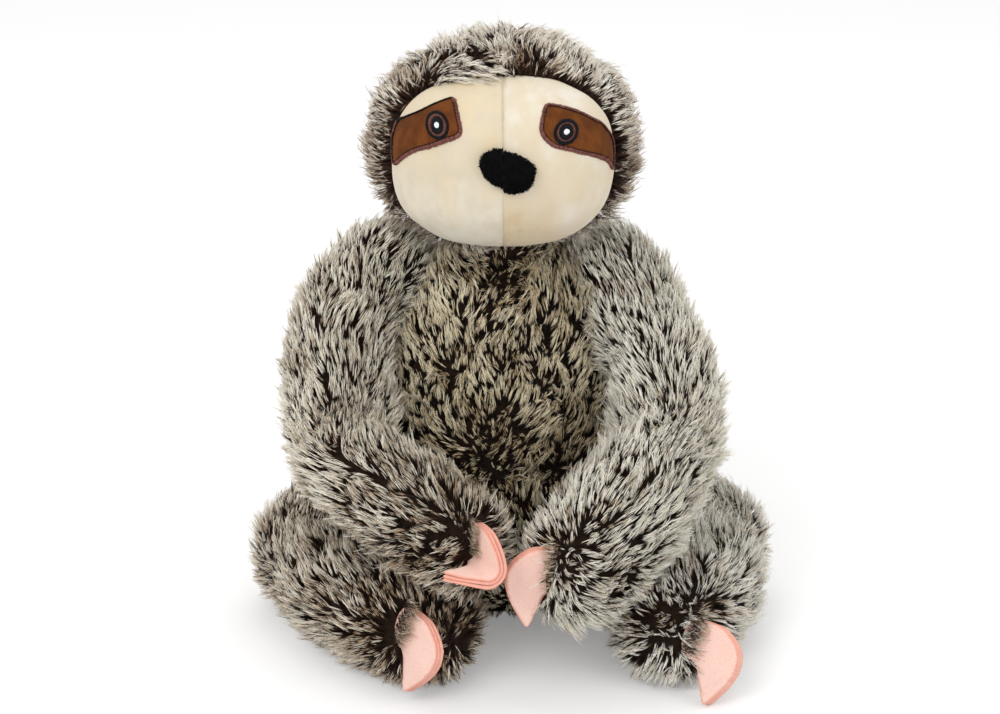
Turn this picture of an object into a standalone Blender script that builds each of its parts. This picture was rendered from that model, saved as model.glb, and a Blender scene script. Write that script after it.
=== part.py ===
# A seated plush sloth, in metres, +Z up. It faces -Y and sits on the plane z = 0.
# Left is the side at -X, on the left of someone who faces the toy.
from math import cos, radians, sin

import bmesh
import bpy
from mathutils import Matrix, Vector

# Fits
clearance = 0.0003
turningGap = 0.0006
ballGap = 0.0009
sweepGap = 0.0014
floorSink = 0.0005
overrun = 0.6

# Fabric: backing and half the pile, face plush, velour, stitching and thread
skinWall = 0.008
facePlush = 0.002
velour = 0.001
satinStitch = 0.0015
eyeThread = 0.0008

# Torso
torsoHeight = 0.262
torsoHalfWidth = 0.105
torsoHalfDepth = 0.086
torsoSetBack = 0.005
pouchHalfWidth = 0.055
pouchHalfDepth = 0.048
pouchHalfHeight = 0.02
neckRadius = 0.034
neckRise = 0.006

# Head and face
headHalfWidth = 0.087
headHalfDepth = 0.078
headHalfHeight = 0.07
headSeat = 0.004
faceHalfWidth = 0.073
faceHalfHeight = 0.057
faceBulge = 0.055
faceForward = 0.043
faceDrop = 0.002
patchHalfWidth = 0.028
patchHalfHeight = 0.029
patchOut = 0.05
patchUp = 0.021
stitchWidth = 0.0028
eyeHalfWidth = 0.0073
eyeHalfHeight = 0.0092
eyeOut = 0.041
eyeUpLeft = 0.034
eyeUpRight = 0.0305
eyeStep = 0.0014
pupilHalfWidth = 0.0038
pupilHalfHeight = 0.0058
highlightHalfWidth = 0.0016
highlightHalfHeight = 0.0023
noseHalfWidth = 0.0185
noseHalfHeight = 0.0165
noseStandOut = 0.009
noseOut = 0.003
noseUp = 0.01
noseSlip = 0.0015

# Arms
shoulderOut = 0.08
shoulderDrop = 0.02
upperArmLength = 0.125
upperArmRadius = 0.033
forearmLength = 0.115
forearmRadius = 0.034

# Legs
hipOut = 0.062
thighLength = 0.075
thighRadius = 0.042
lowerLegLength = 0.12
lowerLegRadius = 0.039

# Felt claws
clawLength = 0.054
clawWidth = 0.03
clawFelt = 0.002
clawFoldRadius = 0.006
clawFoldTurn = 105

# Joint travel, in degrees
shoulderLift = 50
elbowLift = 40
hipSwing = 30
kneeSwing = 35
clawFlex = 15
sweepShares = (0.15, 0.4, 0.7, 1)
elbowOutShare = 0.8

# Side profile of the torso: shares of its half width and of its height
torsoProfileShares = (
    (0.0, 1.0), (0.30, 0.99), (0.48, 0.95), (0.63, 0.88), (0.77, 0.74), (0.88, 0.58),
    (0.96, 0.42), (1.0, 0.27), (0.96, 0.13), (0.83, 0.035), (0.62, 0.0), (0.0, 0.0),
)

# Each limb's path from its sewn end, in shares of its length, then a share of its radius.
# The legs' paths have no height: their radius lays them on the floor.
limbPathShares = {
    "upper_arm_left": (
        (0, 0, 0, 0.94), (-0.14, -0.08, -0.13, 0.97), (-0.23, -0.24, -0.31, 1),
        (-0.26, -0.40, -0.51, 1), (-0.23, -0.59, -0.74, 1),
    ),
    "upper_arm_right": (
        (-0.05, 0, -0.03, 0.92), (0.03, -0.07, -0.12, 0.96), (0.12, -0.23, -0.28, 1),
        (0.22, -0.38, -0.44, 1), (0.25, -0.66, -0.72, 1),
    ),
    "forearm_left": (
        (0, 0, 0, 0.86), (0.06, -0.15, -0.11, 0.93), (0.28, -0.32, -0.21, 0.93),
        (0.49, -0.45, -0.30, 0.93), (0.69, -0.54, -0.42, 0.94),
    ),
    "forearm_right": (
        (0, 0, 0, 0.86), (-0.13, -0.23, -0.16, 1.0), (-0.32, -0.40, -0.35, 1.08),
        (-0.54, -0.53, -0.57, 1.04),
    ),
    "thigh_left": ((0, 0, 0, 0.95), (-0.57, -0.07, 0, 1), (-0.91, -0.44, 0, 1)),
    "thigh_right": ((0, 0, 0, 0.95), (0.61, 0, 0, 1), (1.08, -0.28, 0, 1)),
    "lower_leg_left": (
        (0, 0, 0, 0.94), (0.15, -0.32, 0, 0.99), (0.38, -0.60, 0, 0.98), (0.62, -0.80, 0, 0.98),
    ),
    "lower_leg_right": (
        (0, 0, 0, 0.94), (-0.03, -0.37, 0, 0.99), (-0.13, -0.66, 0, 0.98), (-0.25, -0.88, 0, 0.98),
    ),
}

# The point of its smoothed path from which each limb is filled: it bends before that
fillingStarts = {"upper_arm": 4, "forearm": 5, "thigh": 3, "lower_leg": 4}

# Eye patches, in shares of their half width (outwards) and half height. The last two
# points lie under the hood.
patchShares = {
    "left": (
        (-0.72, 1.02), (-0.36, 0.96), (-0.05, 0.83), (0.22, 0.66), (0.54, 0.34), (0.84, -0.03),
        (1.2, -0.2), (1.2, -1.0), (0.76, -0.76), (0.46, -0.44), (0.12, -0.2),
        (-0.14, -0.13), (-0.5, 0.01), (-0.74, 0.15), (-0.85, 0.38),
    ),
    "right": (
        (-0.72, 0.93), (-0.45, 0.89), (-0.05, 0.78), (0.27, 0.6), (0.54, 0.35), (0.84, 0.07),
        (1.2, -0.15), (1.2, -1.0), (0.8, -0.92), (0.54, -0.54), (0.2, -0.34),
        (-0.22, -0.18), (-0.57, -0.06), (-0.86, 0.18), (-0.93, 0.45),
    ),
}

# One felt claw: shares of its width (away from the paw) and of its length (to the tip)
clawShares = (
    (-0.25, 0.05), (0.3, 0.0), (0.62, 0.07), (0.9, 0.22), (1.0, 0.42), (0.93, 0.64),
    (0.72, 0.88), (0.54, 1.0), (0.36, 0.82), (0.14, 0.57), (-0.25, 0.42),
)

# Where each stack of claws is sewn on: the place of its pattern corner from the centre of
# the paw in shares of the paw's radius, then how far it is turned, tipped and rolled in
# degrees, which side it points to, and where it folds in shares of its length
clawPlaces = {
    "hand_left": dict(shares=(0.38, -0.84, 0.66), turn=62, tip=0, roll=0, side=1, fold=0.5),
    "hand_right": dict(shares=(-0.49, -0.61, 0.66), turn=0, tip=5, roll=0, side=-1, fold=None),
    "foot_left": dict(shares=(-0.08, -0.95, 0.72), turn=38, tip=10, roll=18, side=1, fold=None),
    "foot_right": dict(shares=(0.45, -0.95, 0.52), turn=15, tip=15, roll=12, side=1, fold=None),
}

colours = {
    "frosted_fur": (0.30, 0.25, 0.20),
    "fibre_filling": (0.86, 0.86, 0.84),
    "pellets": (0.72, 0.70, 0.66),
    "cream_plush": (0.90, 0.80, 0.62),
    "peach_plush": (0.92, 0.77, 0.58),
    "saddle_velour": (0.19, 0.065, 0.018),
    "mauve_thread": (0.17, 0.055, 0.050),
    "black_thread": (0.010, 0.008, 0.008),
    "brown_thread": (0.045, 0.018, 0.014),
    "white_thread": (0.85, 0.85, 0.85),
    "black_plush": (0.008, 0.008, 0.009),
    "pink_felt": (0.91, 0.51, 0.40),
}


def clearScene():
    for thing in list(bpy.data.objects):
        bpy.data.objects.remove(thing)
    for name in ("plush_sloth", "plush_sloth_cutters"):
        group = bpy.data.collections.new(name)
        bpy.context.scene.collection.children.link(group)


def linkTo(groupName, thing):
    bpy.data.collections[groupName].objects.link(thing)
    return thing


def material(name):
    made = bpy.data.materials.get(name)
    if made is None:
        made = bpy.data.materials.new(name)
        made.use_nodes = True
        shader = made.node_tree.nodes["Principled BSDF"]
        shader.inputs["Base Color"].default_value = (*colours[name], 1)
        shader.inputs["Roughness"].default_value = 0.9
        shader.inputs["Metallic"].default_value = 0
    return made


def evaluatedMesh(thing):
    graph = bpy.context.evaluated_depsgraph_get()
    mesh = bpy.data.meshes.new_from_object(thing.evaluated_get(graph))
    mesh.transform(thing.matrix_world)
    work = bmesh.new()
    work.from_mesh(mesh)
    bmesh.ops.remove_doubles(work, verts=work.verts, dist=clearance / 10)
    bmesh.ops.recalc_face_normals(work, faces=work.faces)
    work.to_mesh(mesh)
    work.free()
    bpy.data.objects.remove(thing)
    return mesh


def smoothed(points, steps):
    # A Catmull-Rom line through the points, which are tuples of any length
    ends = [points[0], *points, points[-1]]
    line = []
    for i in range(len(points) - 1):
        before, here, there, after = ends[i:i + 4]
        for step in range(steps):
            t = step / steps
            weights = (
                (2 * t * t - t - t ** 3) / 2,
                (2 - 5 * t * t + 3 * t ** 3) / 2,
                (t + 4 * t * t - 3 * t ** 3) / 2,
                (t ** 3 - t * t) / 2,
            )
            corners = zip(before, here, there, after)
            line.append(tuple(sum(w * c for w, c in zip(weights, four)) for four in corners))
    return [*line, tuple(points[-1])]


def movedOut(outline, distance, closed=True):
    # Each point of an outline that runs clockwise, or of a profile that runs down its
    # outer side, moved out along the mean of its edges' normals
    moved = []
    count = len(outline)
    for i, point in enumerate(outline):
        before = outline[i - 1] if closed or i else point
        after = outline[(i + 1) % count] if closed or i < count - 1 else point
        along = (Vector(after) - Vector(before)).normalized()
        moved.append((point[0] - along.y * distance, point[1] + along.x * distance))
    return moved


def torsoMesh(offset, sides=20):
    profile = [(r * torsoHalfWidth, z * (torsoHeight + floorSink) - floorSink)
               for r, z in smoothed(torsoProfileShares, 1)]
    profile = movedOut(profile, offset, closed=False)
    mesh = bpy.data.meshes.new("torso_profile")
    places = [(max(r, 0), 0, z) for r, z in profile]
    places[0] = (0, 0, places[0][2])
    places[-1] = (0, 0, places[-1][2])
    mesh.from_pydata(places, [(i, i + 1) for i in range(len(places) - 1)], [])
    turned = linkTo("plush_sloth_cutters", bpy.data.objects.new("torso_profile", mesh))
    screw = turned.modifiers.new("turn", "SCREW")
    screw.steps = screw.render_steps = sides
    screw.use_merge_vertices = True
    screw.merge_threshold = clearance / 10
    turned.location = (0, torsoSetBack, 0)
    turned.scale = (1, (torsoHalfDepth + offset) / (torsoHalfWidth + offset), 1)
    bpy.context.view_layer.update()
    return evaluatedMesh(turned)


def ballMesh(centre, halves, segments=24, rings=14, boxy=None):
    # An ellipsoid with its poles at the front and back. boxy squares its front outline
    mesh = bpy.data.meshes.new("ball")
    work = bmesh.new()
    bmesh.ops.create_uvsphere(work, u_segments=segments, v_segments=rings, radius=1)
    for vertex in work.verts:
        x, z, y = vertex.co
        across = (x * x + z * z) ** 0.5
        if boxy and across > 0:
            share = (abs(x) / across) ** boxy + (abs(z) / across) ** boxy
            x, z = x / share ** (1 / boxy), z / share ** (1 / boxy)
        vertex.co = (x * halves[0], -y * halves[1], z * halves[2])
    bmesh.ops.recalc_face_normals(work, faces=work.faces)
    bmesh.ops.translate(work, verts=work.verts, vec=centre)
    work.to_mesh(mesh)
    work.free()
    return mesh


def headMesh(offset, segments=24, rings=14):
    halves = [half + offset for half in (headHalfWidth, headHalfDepth, headHalfHeight)]
    return ballMesh(headCentre, halves, segments, rings)


def faceMesh(offset):
    halves = [half + offset for half in (faceHalfWidth, faceBulge, faceHalfHeight)]
    return ballMesh(faceCentre, halves, segments=24, rings=14, boxy=2.5)


def neckMesh(offset):
    return ballMesh(neckCentre, [neckRadius + offset] * 3, segments=24, rings=14)


def pouchMesh(offset):
    halves = [half + offset for half in (pouchHalfWidth, pouchHalfDepth, pouchHalfHeight)]
    return ballMesh(Vector((0, torsoSetBack, pouchHalfHeight)), halves, segments=14, rings=8)


def limbStations(name):
    start, length, radius = limbs[name]
    stations = []
    for x, y, z, share in limbPathShares[name]:
        place = start + length * Vector((x, y, z))
        if "arm" not in name:
            place.z = radius * share - floorSink
        stations.append((*place, radius * share))
    return stations


def limbMesh(name, offset, roundness=4):
    # A tube of changing radius along a smooth path, with a round end at each station's end
    line = smoothed(limbStations(name), 2)
    first, second, last = Vector(line[0][:3]), Vector(line[1][:3]), Vector(line[-1][:3])
    outwards = ((first - second).normalized(), (last - Vector(line[-2][:3])).normalized())
    rounding = [radians(a) for a in (32, 60, 82)]
    head, end = line[0][3] + offset, line[-1][3] + offset
    rings = [(first + outwards[0] * head * sin(a), head * cos(a)) for a in reversed(rounding)]
    rings += [(Vector(spot[:3]), spot[3] + offset) for spot in line]
    rings += [(last + outwards[1] * end * sin(a), end * cos(a)) for a in rounding]
    curve = bpy.data.curves.new(name, "CURVE")
    curve.dimensions = "3D"
    curve.bevel_depth = 1
    curve.bevel_resolution = roundness
    curve.use_fill_caps = True
    spline = curve.splines.new("POLY")
    spline.points.add(len(rings) - 1)
    for point, (place, radius) in zip(spline.points, rings):
        point.co = (*place, 1)
        point.radius = radius
    tube = linkTo("plush_sloth_cutters", bpy.data.objects.new(name, curve))
    bpy.context.view_layer.update()
    return evaluatedMesh(tube)


def jointBall(name):
    # The room that the round far end of a limb needs in the next one, whichever way it turns
    *centre, radius = limbStations(name)[-1]
    return ballMesh(Vector(centre), [radius + ballGap] * 3)


def cutShort(mesh, name):
    # A limb's filling starts square across its path, past the place where the limb bends
    line = smoothed(limbStations(name), 2)
    start = fillingStarts[name.rsplit("_", 1)[0]]
    place, before = Vector(line[start][:3]), Vector(line[start - 1][:3])
    work = bmesh.new()
    work.from_mesh(mesh)
    everything = work.verts[:] + work.edges[:] + work.faces[:]
    cut = bmesh.ops.bisect_plane(work, geom=everything, plane_co=place, clear_inner=True,
                                 plane_no=place - before, dist=clearance / 10)["geom_cut"]
    rim = [part for part in cut if isinstance(part, bmesh.types.BMEdge)]
    bmesh.ops.contextual_create(work, geom=rim)
    bmesh.ops.recalc_face_normals(work, faces=work.faces)
    work.to_mesh(mesh)
    work.free()
    return mesh


def prismMesh(outline):
    # A flat outline in x and z, drawn through the whole toy along y
    curve = bpy.data.curves.new("outline", "CURVE")
    curve.dimensions = "2D"
    curve.fill_mode = "BOTH"
    curve.extrude = overrun / 2
    spline = curve.splines.new("POLY")
    spline.points.add(len(outline) - 1)
    for point, (x, z) in zip(spline.points, outline):
        point.co = (x, z, 0, 1)
    spline.use_cyclic_u = True
    drawn = linkTo("plush_sloth_cutters", bpy.data.objects.new("outline", curve))
    drawn.rotation_euler = (radians(90), 0, 0)
    drawn.location = (0, -overrun / 2, 0)
    bpy.context.view_layer.update()
    return evaluatedMesh(drawn)


def ovalOutline(centre, halfWidth, halfHeight, points=14):
    turns = [radians(-360 * i / points) for i in range(points)]
    return [(centre[0] + halfWidth * cos(a), centre[1] + halfHeight * sin(a)) for a in turns]


def boxMesh(low, high):
    mesh = bpy.data.meshes.new("box")
    work = bmesh.new()
    bmesh.ops.create_cube(work, size=1)
    middle = (Vector(low) + Vector(high)) / 2
    for vertex in work.verts:
        vertex.co = middle + Vector(c * (b - a) for a, b, c in zip(low, high, vertex.co))
    work.to_mesh(mesh)
    work.free()
    return mesh


def piece(name, mesh, materialName, body):
    mesh.name = name
    made = linkTo("plush_sloth", bpy.data.objects.new(name, mesh))
    mesh.materials.clear()
    mesh.materials.append(material(materialName))
    mesh.shade_smooth()
    bodyOf[name] = body
    return made


def combine(made, mesh, operation="DIFFERENCE", matrix=None):
    cutter = linkTo("plush_sloth_cutters", bpy.data.objects.new("cutter_" + made.name, mesh))
    cutter.matrix_world = matrix or Matrix.Identity(4)
    cutter.display_type = "WIRE"
    cutter.hide_render = True
    step = made.modifiers.new(operation.lower(), "BOOLEAN")
    step.operation = operation
    step.solver = "EXACT"
    step.object = cutter


def swept(pivot, axis, travel, shares=(1,)):
    # The places that a still neighbour takes, seen from a piece that turns up to travel
    places = []
    for share in shares:
        turn = Matrix.Rotation(radians(-travel * share), 4, Vector(axis))
        places.append(Matrix.Translation(pivot) @ turn @ Matrix.Translation(-Vector(pivot)))
    return places


def layFlat(made):
    combine(made, floorBox)


def buildTorso():
    skin = piece("torso_skin", torsoMesh(0), "frosted_fur", "torso")
    combine(skin, torsoMesh(-skinWall, 16))
    combine(skin, neckMesh(turningGap))
    layFlat(skin)
    filling = piece("torso_filling", torsoMesh(-skinWall - clearance, 16), "fibre_filling", "torso")
    combine(filling, neckMesh(turningGap))
    combine(filling, pouchMesh(clearance))
    pouch = piece("seat_pellet_pouch", pouchMesh(0), "pellets", "torso")
    combine(pouch, torsoMesh(-skinWall - clearance, 16), "INTERSECT")
    piece("neck_filling", neckMesh(0), "fibre_filling", "neck")


def buildHead():
    skin = piece("head_skin", headMesh(0), "frosted_fur", "head")
    combine(skin, headMesh(-skinWall, 20, 12))
    combine(skin, faceMesh(clearance))
    combine(skin, neckMesh(turningGap))
    filling = piece("head_filling", headMesh(-skinWall - clearance, 20, 12), "fibre_filling", "head")
    combine(filling, faceMesh(-facePlush - clearance), "UNION")
    combine(filling, neckMesh(turningGap))


def sideBox(side):
    # Everything on the far side of the face's upright seam
    low = (-overrun if side > 0 else -clearance / 2, -overrun, 0)
    high = (clearance / 2 if side > 0 else overrun, overrun, overrun)
    return boxMesh(low, high)


def behindFace():
    return boxMesh((-overrun, faceCentre.y, 0), (overrun, overrun, overrun))


def buildFacePanel(side, name, materialName):
    panel = piece(name, faceMesh(0), materialName, "head")
    combine(panel, faceMesh(-facePlush))
    combine(panel, behindFace())
    combine(panel, sideBox(side))


def layerOnFace(name, outline, hole, low, high, materialName):
    # One layer of cloth or thread over the face, between two heights above the panels
    layer = piece(name, faceMesh(high), materialName, "head")
    combine(layer, faceMesh(low))
    combine(layer, prismMesh(outline), "INTERSECT")
    if hole:
        combine(layer, prismMesh(hole))
    combine(layer, behindFace())
    return layer


def buildEye(side, sign):
    up = eyeUpRight if sign > 0 else eyeUpLeft
    centre = (faceCentre.x + sign * eyeOut, faceCentre.z + up)
    low = velour + 2 * clearance
    high = low + eyeThread
    ring = [(eyeHalfWidth, eyeHalfHeight), (eyeHalfWidth - eyeStep, eyeHalfHeight - eyeStep)]
    pupil = (pupilHalfWidth, pupilHalfHeight)
    highlight = (highlightHalfWidth, highlightHalfHeight)

    def oval(halves, grow=0):
        return ovalOutline(centre, halves[0] + grow, halves[1] + grow)

    layers = (
        ("eye_ring_", oval(ring[0]), oval(ring[1]), "black_thread"),
        ("eye_iris_", oval(ring[1], -clearance), oval(pupil, clearance), "brown_thread"),
        ("eye_pupil_", oval(pupil), oval(highlight, clearance), "black_thread"),
        ("eye_highlight_", oval(highlight), None, "white_thread"),
    )
    for name, outline, hole, thread in layers:
        layerOnFace(name + side, outline, hole, low, high, thread)


def buildEyePatch(side, sign):
    outline = [(faceCentre.x + sign * (patchOut + x * patchHalfWidth),
                faceCentre.z + patchUp + z * patchHalfHeight) for x, z in patchShares[side]]
    if sign < 0:
        outline.reverse()
    inner = movedOut(outline, -stitchWidth)
    patchOutline = movedOut(outline, -stitchWidth - clearance)
    patch = layerOnFace("eye_patch_" + side, patchOutline, None, clearance,
                        clearance + velour, "saddle_velour")
    stitch = layerOnFace("patch_stitching_" + side, outline, inner, clearance,
                         clearance + satinStitch, "mauve_thread")
    for layer in (patch, stitch):
        combine(layer, headMesh(clearance))


def buildNose(side, sign):
    front = Vector((noseOut, -faceBulge, noseUp - (noseSlip if sign > 0 else 0)))
    halves = (noseHalfWidth, noseStandOut, noseHalfHeight)
    nose = piece("nose_" + side, ballMesh(faceCentre + front, halves, 18, 8), "black_plush",
                 "head")
    combine(nose, faceMesh(clearance))
    combine(nose, sideBox(sign))


def buildLimb(name, neighbours):
    # A stuffed sleeve: its skin is open at the sewn end, where the larger forms cut it
    skin = piece(name + "_skin", limbMesh(name, 0), "frosted_fur", name)
    combine(skin, limbMesh(name, -skinWall, roundness=2))
    inside = cutShort(limbMesh(name, -skinWall - clearance, roundness=2), name)
    piece(name + "_filling", inside, "fibre_filling", name)
    for form, places in neighbours:
        for place in places:
            combine(skin, form, matrix=place)
    if "arm" not in name:
        layFlat(skin)


def foldedPlace(place, foldAt):
    # Carries a point of the flat stack (away, down, depth) round the fold towards the palm
    away, down, depth = place
    if foldAt is None or down < foldAt:
        return place
    radius = clawFoldRadius + depth
    turn = min((down - foldAt) / clawFoldRadius, radians(clawFoldTurn))
    rest = down - foldAt - clawFoldRadius * turn
    return (away, foldAt + radius * sin(turn) + rest * cos(turn),
            radius * cos(turn) - clawFoldRadius - rest * sin(turn))


def clawMesh(layer, fold):
    # A layer of felt: x away from the paw, y down to the tip, z through the stack
    step = clawFelt + clearance
    outline = [(x * clawWidth, y * clawLength) for x, y in clawShares]
    mesh = bpy.data.meshes.new("claw")
    work = bmesh.new()
    lower = [work.verts.new((x, y, layer * step)) for x, y in outline]
    face = work.faces.new(lower)
    raised = bmesh.ops.extrude_face_region(work, geom=[face])["geom"]
    upper = [part for part in raised if isinstance(part, bmesh.types.BMVert)]
    bmesh.ops.translate(work, verts=upper, vec=(0, 0, clawFelt))
    work.faces.ensure_lookup_table()
    if fold:
        foldAt = fold * clawLength
        for i in range(6):
            height = foldAt + clawFoldRadius * radians(clawFoldTurn) * i / 5
            cut = work.verts[:] + work.edges[:] + work.faces[:]
            bmesh.ops.bisect_plane(work, geom=cut, plane_co=(0, height, 0), plane_no=(0, 1, 0),
                                   dist=clearance / 10)
        for vertex in work.verts:
            vertex.co = foldedPlace(vertex.co, foldAt)
    bmesh.ops.triangulate(work, faces=work.faces)
    bmesh.ops.recalc_face_normals(work, faces=work.faces)
    work.to_mesh(mesh)
    work.free()
    return mesh


def clawFrame(paw):
    # From the stack's own axes to the toy's: x away from the paw, y down and z to the back
    where = clawPlaces[paw]
    limb = pawLimbs[paw]
    station = limbStations(limb)[-1]
    corner = Vector(station[:3]) + station[3] * Vector(where["shares"])
    sign = where["side"]
    turn = Matrix.Rotation(radians(-where["turn"]), 4, "Z")
    tip = Matrix.Rotation(radians(-where["tip"]), 4, "X")
    roll = Matrix.Rotation(radians(where["roll"]), 4, "Y")
    axes = Matrix(((sign, 0, 0, 0), (0, 0, 1, 0), (0, -1, 0, 0), (0, 0, 0, 1)))
    return Matrix.Translation(corner) @ turn @ tip @ roll @ axes


def buildClaws(paw):
    frame = clawFrame(paw)
    limb = pawLimbs[paw]
    body = "claws_" + paw
    axis = (frame.to_3x3() @ Vector((0, 1, 0))).normalized()
    places = swept(frame.translation, axis, clawFlex, (-1, 1))
    cutters = [(clearance, still[0])] + [(turningGap, place) for place in places]
    for layer in range(3):
        mesh = clawMesh(layer, clawPlaces[paw]["fold"])
        mesh.transform(frame)
        if frame.determinant() < 0:
            mesh.flip_normals()
        claw = piece("claw_" + paw + "_" + str(layer + 1), mesh, "pink_felt", body)
        for gap, place in cutters:
            combine(claw, limbMesh(limb, gap), matrix=place)
    pivots[body] = (frame.translation, limb)


def hangOnPivots():
    # Each body hangs on an empty at its joint, and each empty on its parent body's
    empties = {}
    for body, (pivot, parent) in pivots.items():
        empty = linkTo("plush_sloth", bpy.data.objects.new("pivot_" + body, None))
        empty.empty_display_size = clawWidth
        empties[body] = empty
        above = empties.get(parent)
        if above:
            empty.parent = above
            empty.location = Vector(pivot) - Vector(pivots[parent][0])
        else:
            empty.location = pivot
    for name, body in bodyOf.items():
        made = bpy.data.objects[name]
        made.data.transform(Matrix.Translation(-Vector(pivots[body][0])))
        made.parent = empties[body]


def liftAxis(forearm, sign):
    # A bending elbow lifts the hand and carries it outwards
    reach = Vector(limbStations(forearm)[-1][:3]) - limbs[forearm][0]
    return Vector((reach.y, -reach.x, sign * elbowOutShare * reach.xy.length)).normalized()


def limbStart(name):
    side = -1 if name.endswith("left") else 1
    if name.startswith("upper_arm"):
        return Vector((side * shoulderOut, torsoSetBack, torsoHeight - shoulderDrop))
    if name.startswith("thigh"):
        return Vector((side * hipOut, torsoSetBack, 0))
    above = name.replace("forearm", "upper_arm").replace("lower_leg", "thigh")
    return Vector(limbStations(above)[-1][:3])


clearScene()
bodyOf = {}
neckCentre = Vector((0, torsoSetBack, torsoHeight + neckRise))
headCentre = Vector((0, torsoSetBack, torsoHeight + headSeat + headHalfHeight))
faceCentre = headCentre - Vector((0, faceForward, faceDrop))
floorBox = boxMesh((-overrun, -overrun, -overrun), (overrun, overrun, 0))
pawLimbs = {
    "hand_left": "forearm_left", "hand_right": "forearm_right",
    "foot_left": "lower_leg_left", "foot_right": "lower_leg_right",
}
limbs = {}
for limbSide in ("left", "right"):
    for limbKind, length, radius in (
        ("upper_arm_", upperArmLength, upperArmRadius),
        ("forearm_", forearmLength, forearmRadius),
        ("thigh_", thighLength, thighRadius),
        ("lower_leg_", lowerLegLength, lowerLegRadius),
    ):
        limbs[limbKind + limbSide] = (limbStart(limbKind + limbSide), length, radius)

pivots = {"torso": (Vector((0, 0, 0)), None), "neck": (neckCentre, "torso"),
          "head": (neckCentre, "neck")}
buildTorso()
buildHead()
buildFacePanel(-1, "face_panel_left", "cream_plush")
buildFacePanel(1, "face_panel_right", "peach_plush")
for faceSide, faceSign in (("left", -1), ("right", 1)):
    buildEyePatch(faceSide, faceSign)
    buildEye(faceSide, faceSign)
    buildNose(faceSide, faceSign)

still = [Matrix.Identity(4)]
torsoForm = torsoMesh(clearance)
torsoTurning = torsoMesh(turningGap)
torsoSwept = torsoMesh(sweepGap)
for limbSide, sign in (("left", -1), ("right", 1)):
    upperArm, forearm = "upper_arm_" + limbSide, "forearm_" + limbSide
    thigh, lowerLeg = "thigh_" + limbSide, "lower_leg_" + limbSide
    shoulder, elbow = limbs[upperArm][0], limbs[forearm][0]
    hip, knee = limbs[thigh][0], limbs[lowerLeg][0]
    pivots[upperArm] = (shoulder, "torso")
    pivots[forearm] = (elbow, upperArm)
    pivots[thigh] = (hip, "torso")
    pivots[lowerLeg] = (knee, thigh)
    elbowAxis = liftAxis(forearm, sign)
    buildLimb(thigh, [(torsoTurning, still), (torsoSwept, swept(hip, (0, 0, sign), hipSwing, sweepShares))])
    buildLimb(lowerLeg, [
        (jointBall(thigh), still),
        (limbMesh(thigh, turningGap), still),
        (limbMesh(thigh, sweepGap), swept(knee, (0, 0, sign), kneeSwing)),
        (torsoForm, still),
    ])
    buildLimb(upperArm, [(torsoTurning, still),
                         (torsoSwept, swept(shoulder, (-1, 0, 0), shoulderLift, sweepShares))])
    buildLimb(forearm, [
        (jointBall(upperArm), still),
        (limbMesh(upperArm, turningGap), still),
        (limbMesh(upperArm, sweepGap), swept(elbow, elbowAxis, elbowLift)),
        (torsoForm, still),
        (limbMesh(lowerLeg, clearance), still),
    ])
for pawName in clawPlaces:
    buildClaws(pawName)
hangOnPivots()
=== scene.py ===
from math import cos, pi, radians, sin, sqrt

import bmesh
import bpy
import numpy as np
from mathutils import Matrix, Vector
from mathutils.bvhtree import BVHTree
from mathutils.geometry import delaunay_2d_cdt


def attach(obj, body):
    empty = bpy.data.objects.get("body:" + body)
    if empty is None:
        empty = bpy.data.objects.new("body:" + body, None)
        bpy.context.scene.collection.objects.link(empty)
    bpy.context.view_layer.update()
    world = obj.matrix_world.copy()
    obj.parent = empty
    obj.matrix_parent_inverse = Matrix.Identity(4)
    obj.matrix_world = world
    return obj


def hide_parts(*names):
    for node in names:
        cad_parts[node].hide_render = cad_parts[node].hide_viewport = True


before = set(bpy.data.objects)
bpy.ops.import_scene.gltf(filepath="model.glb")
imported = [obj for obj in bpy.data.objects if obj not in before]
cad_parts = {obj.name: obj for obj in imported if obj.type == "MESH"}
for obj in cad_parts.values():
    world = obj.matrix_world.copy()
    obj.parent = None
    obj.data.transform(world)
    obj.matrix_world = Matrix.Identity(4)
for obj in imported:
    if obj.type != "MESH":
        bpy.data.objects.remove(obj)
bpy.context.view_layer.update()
print("frame loaded")

mm = 0.001

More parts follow.
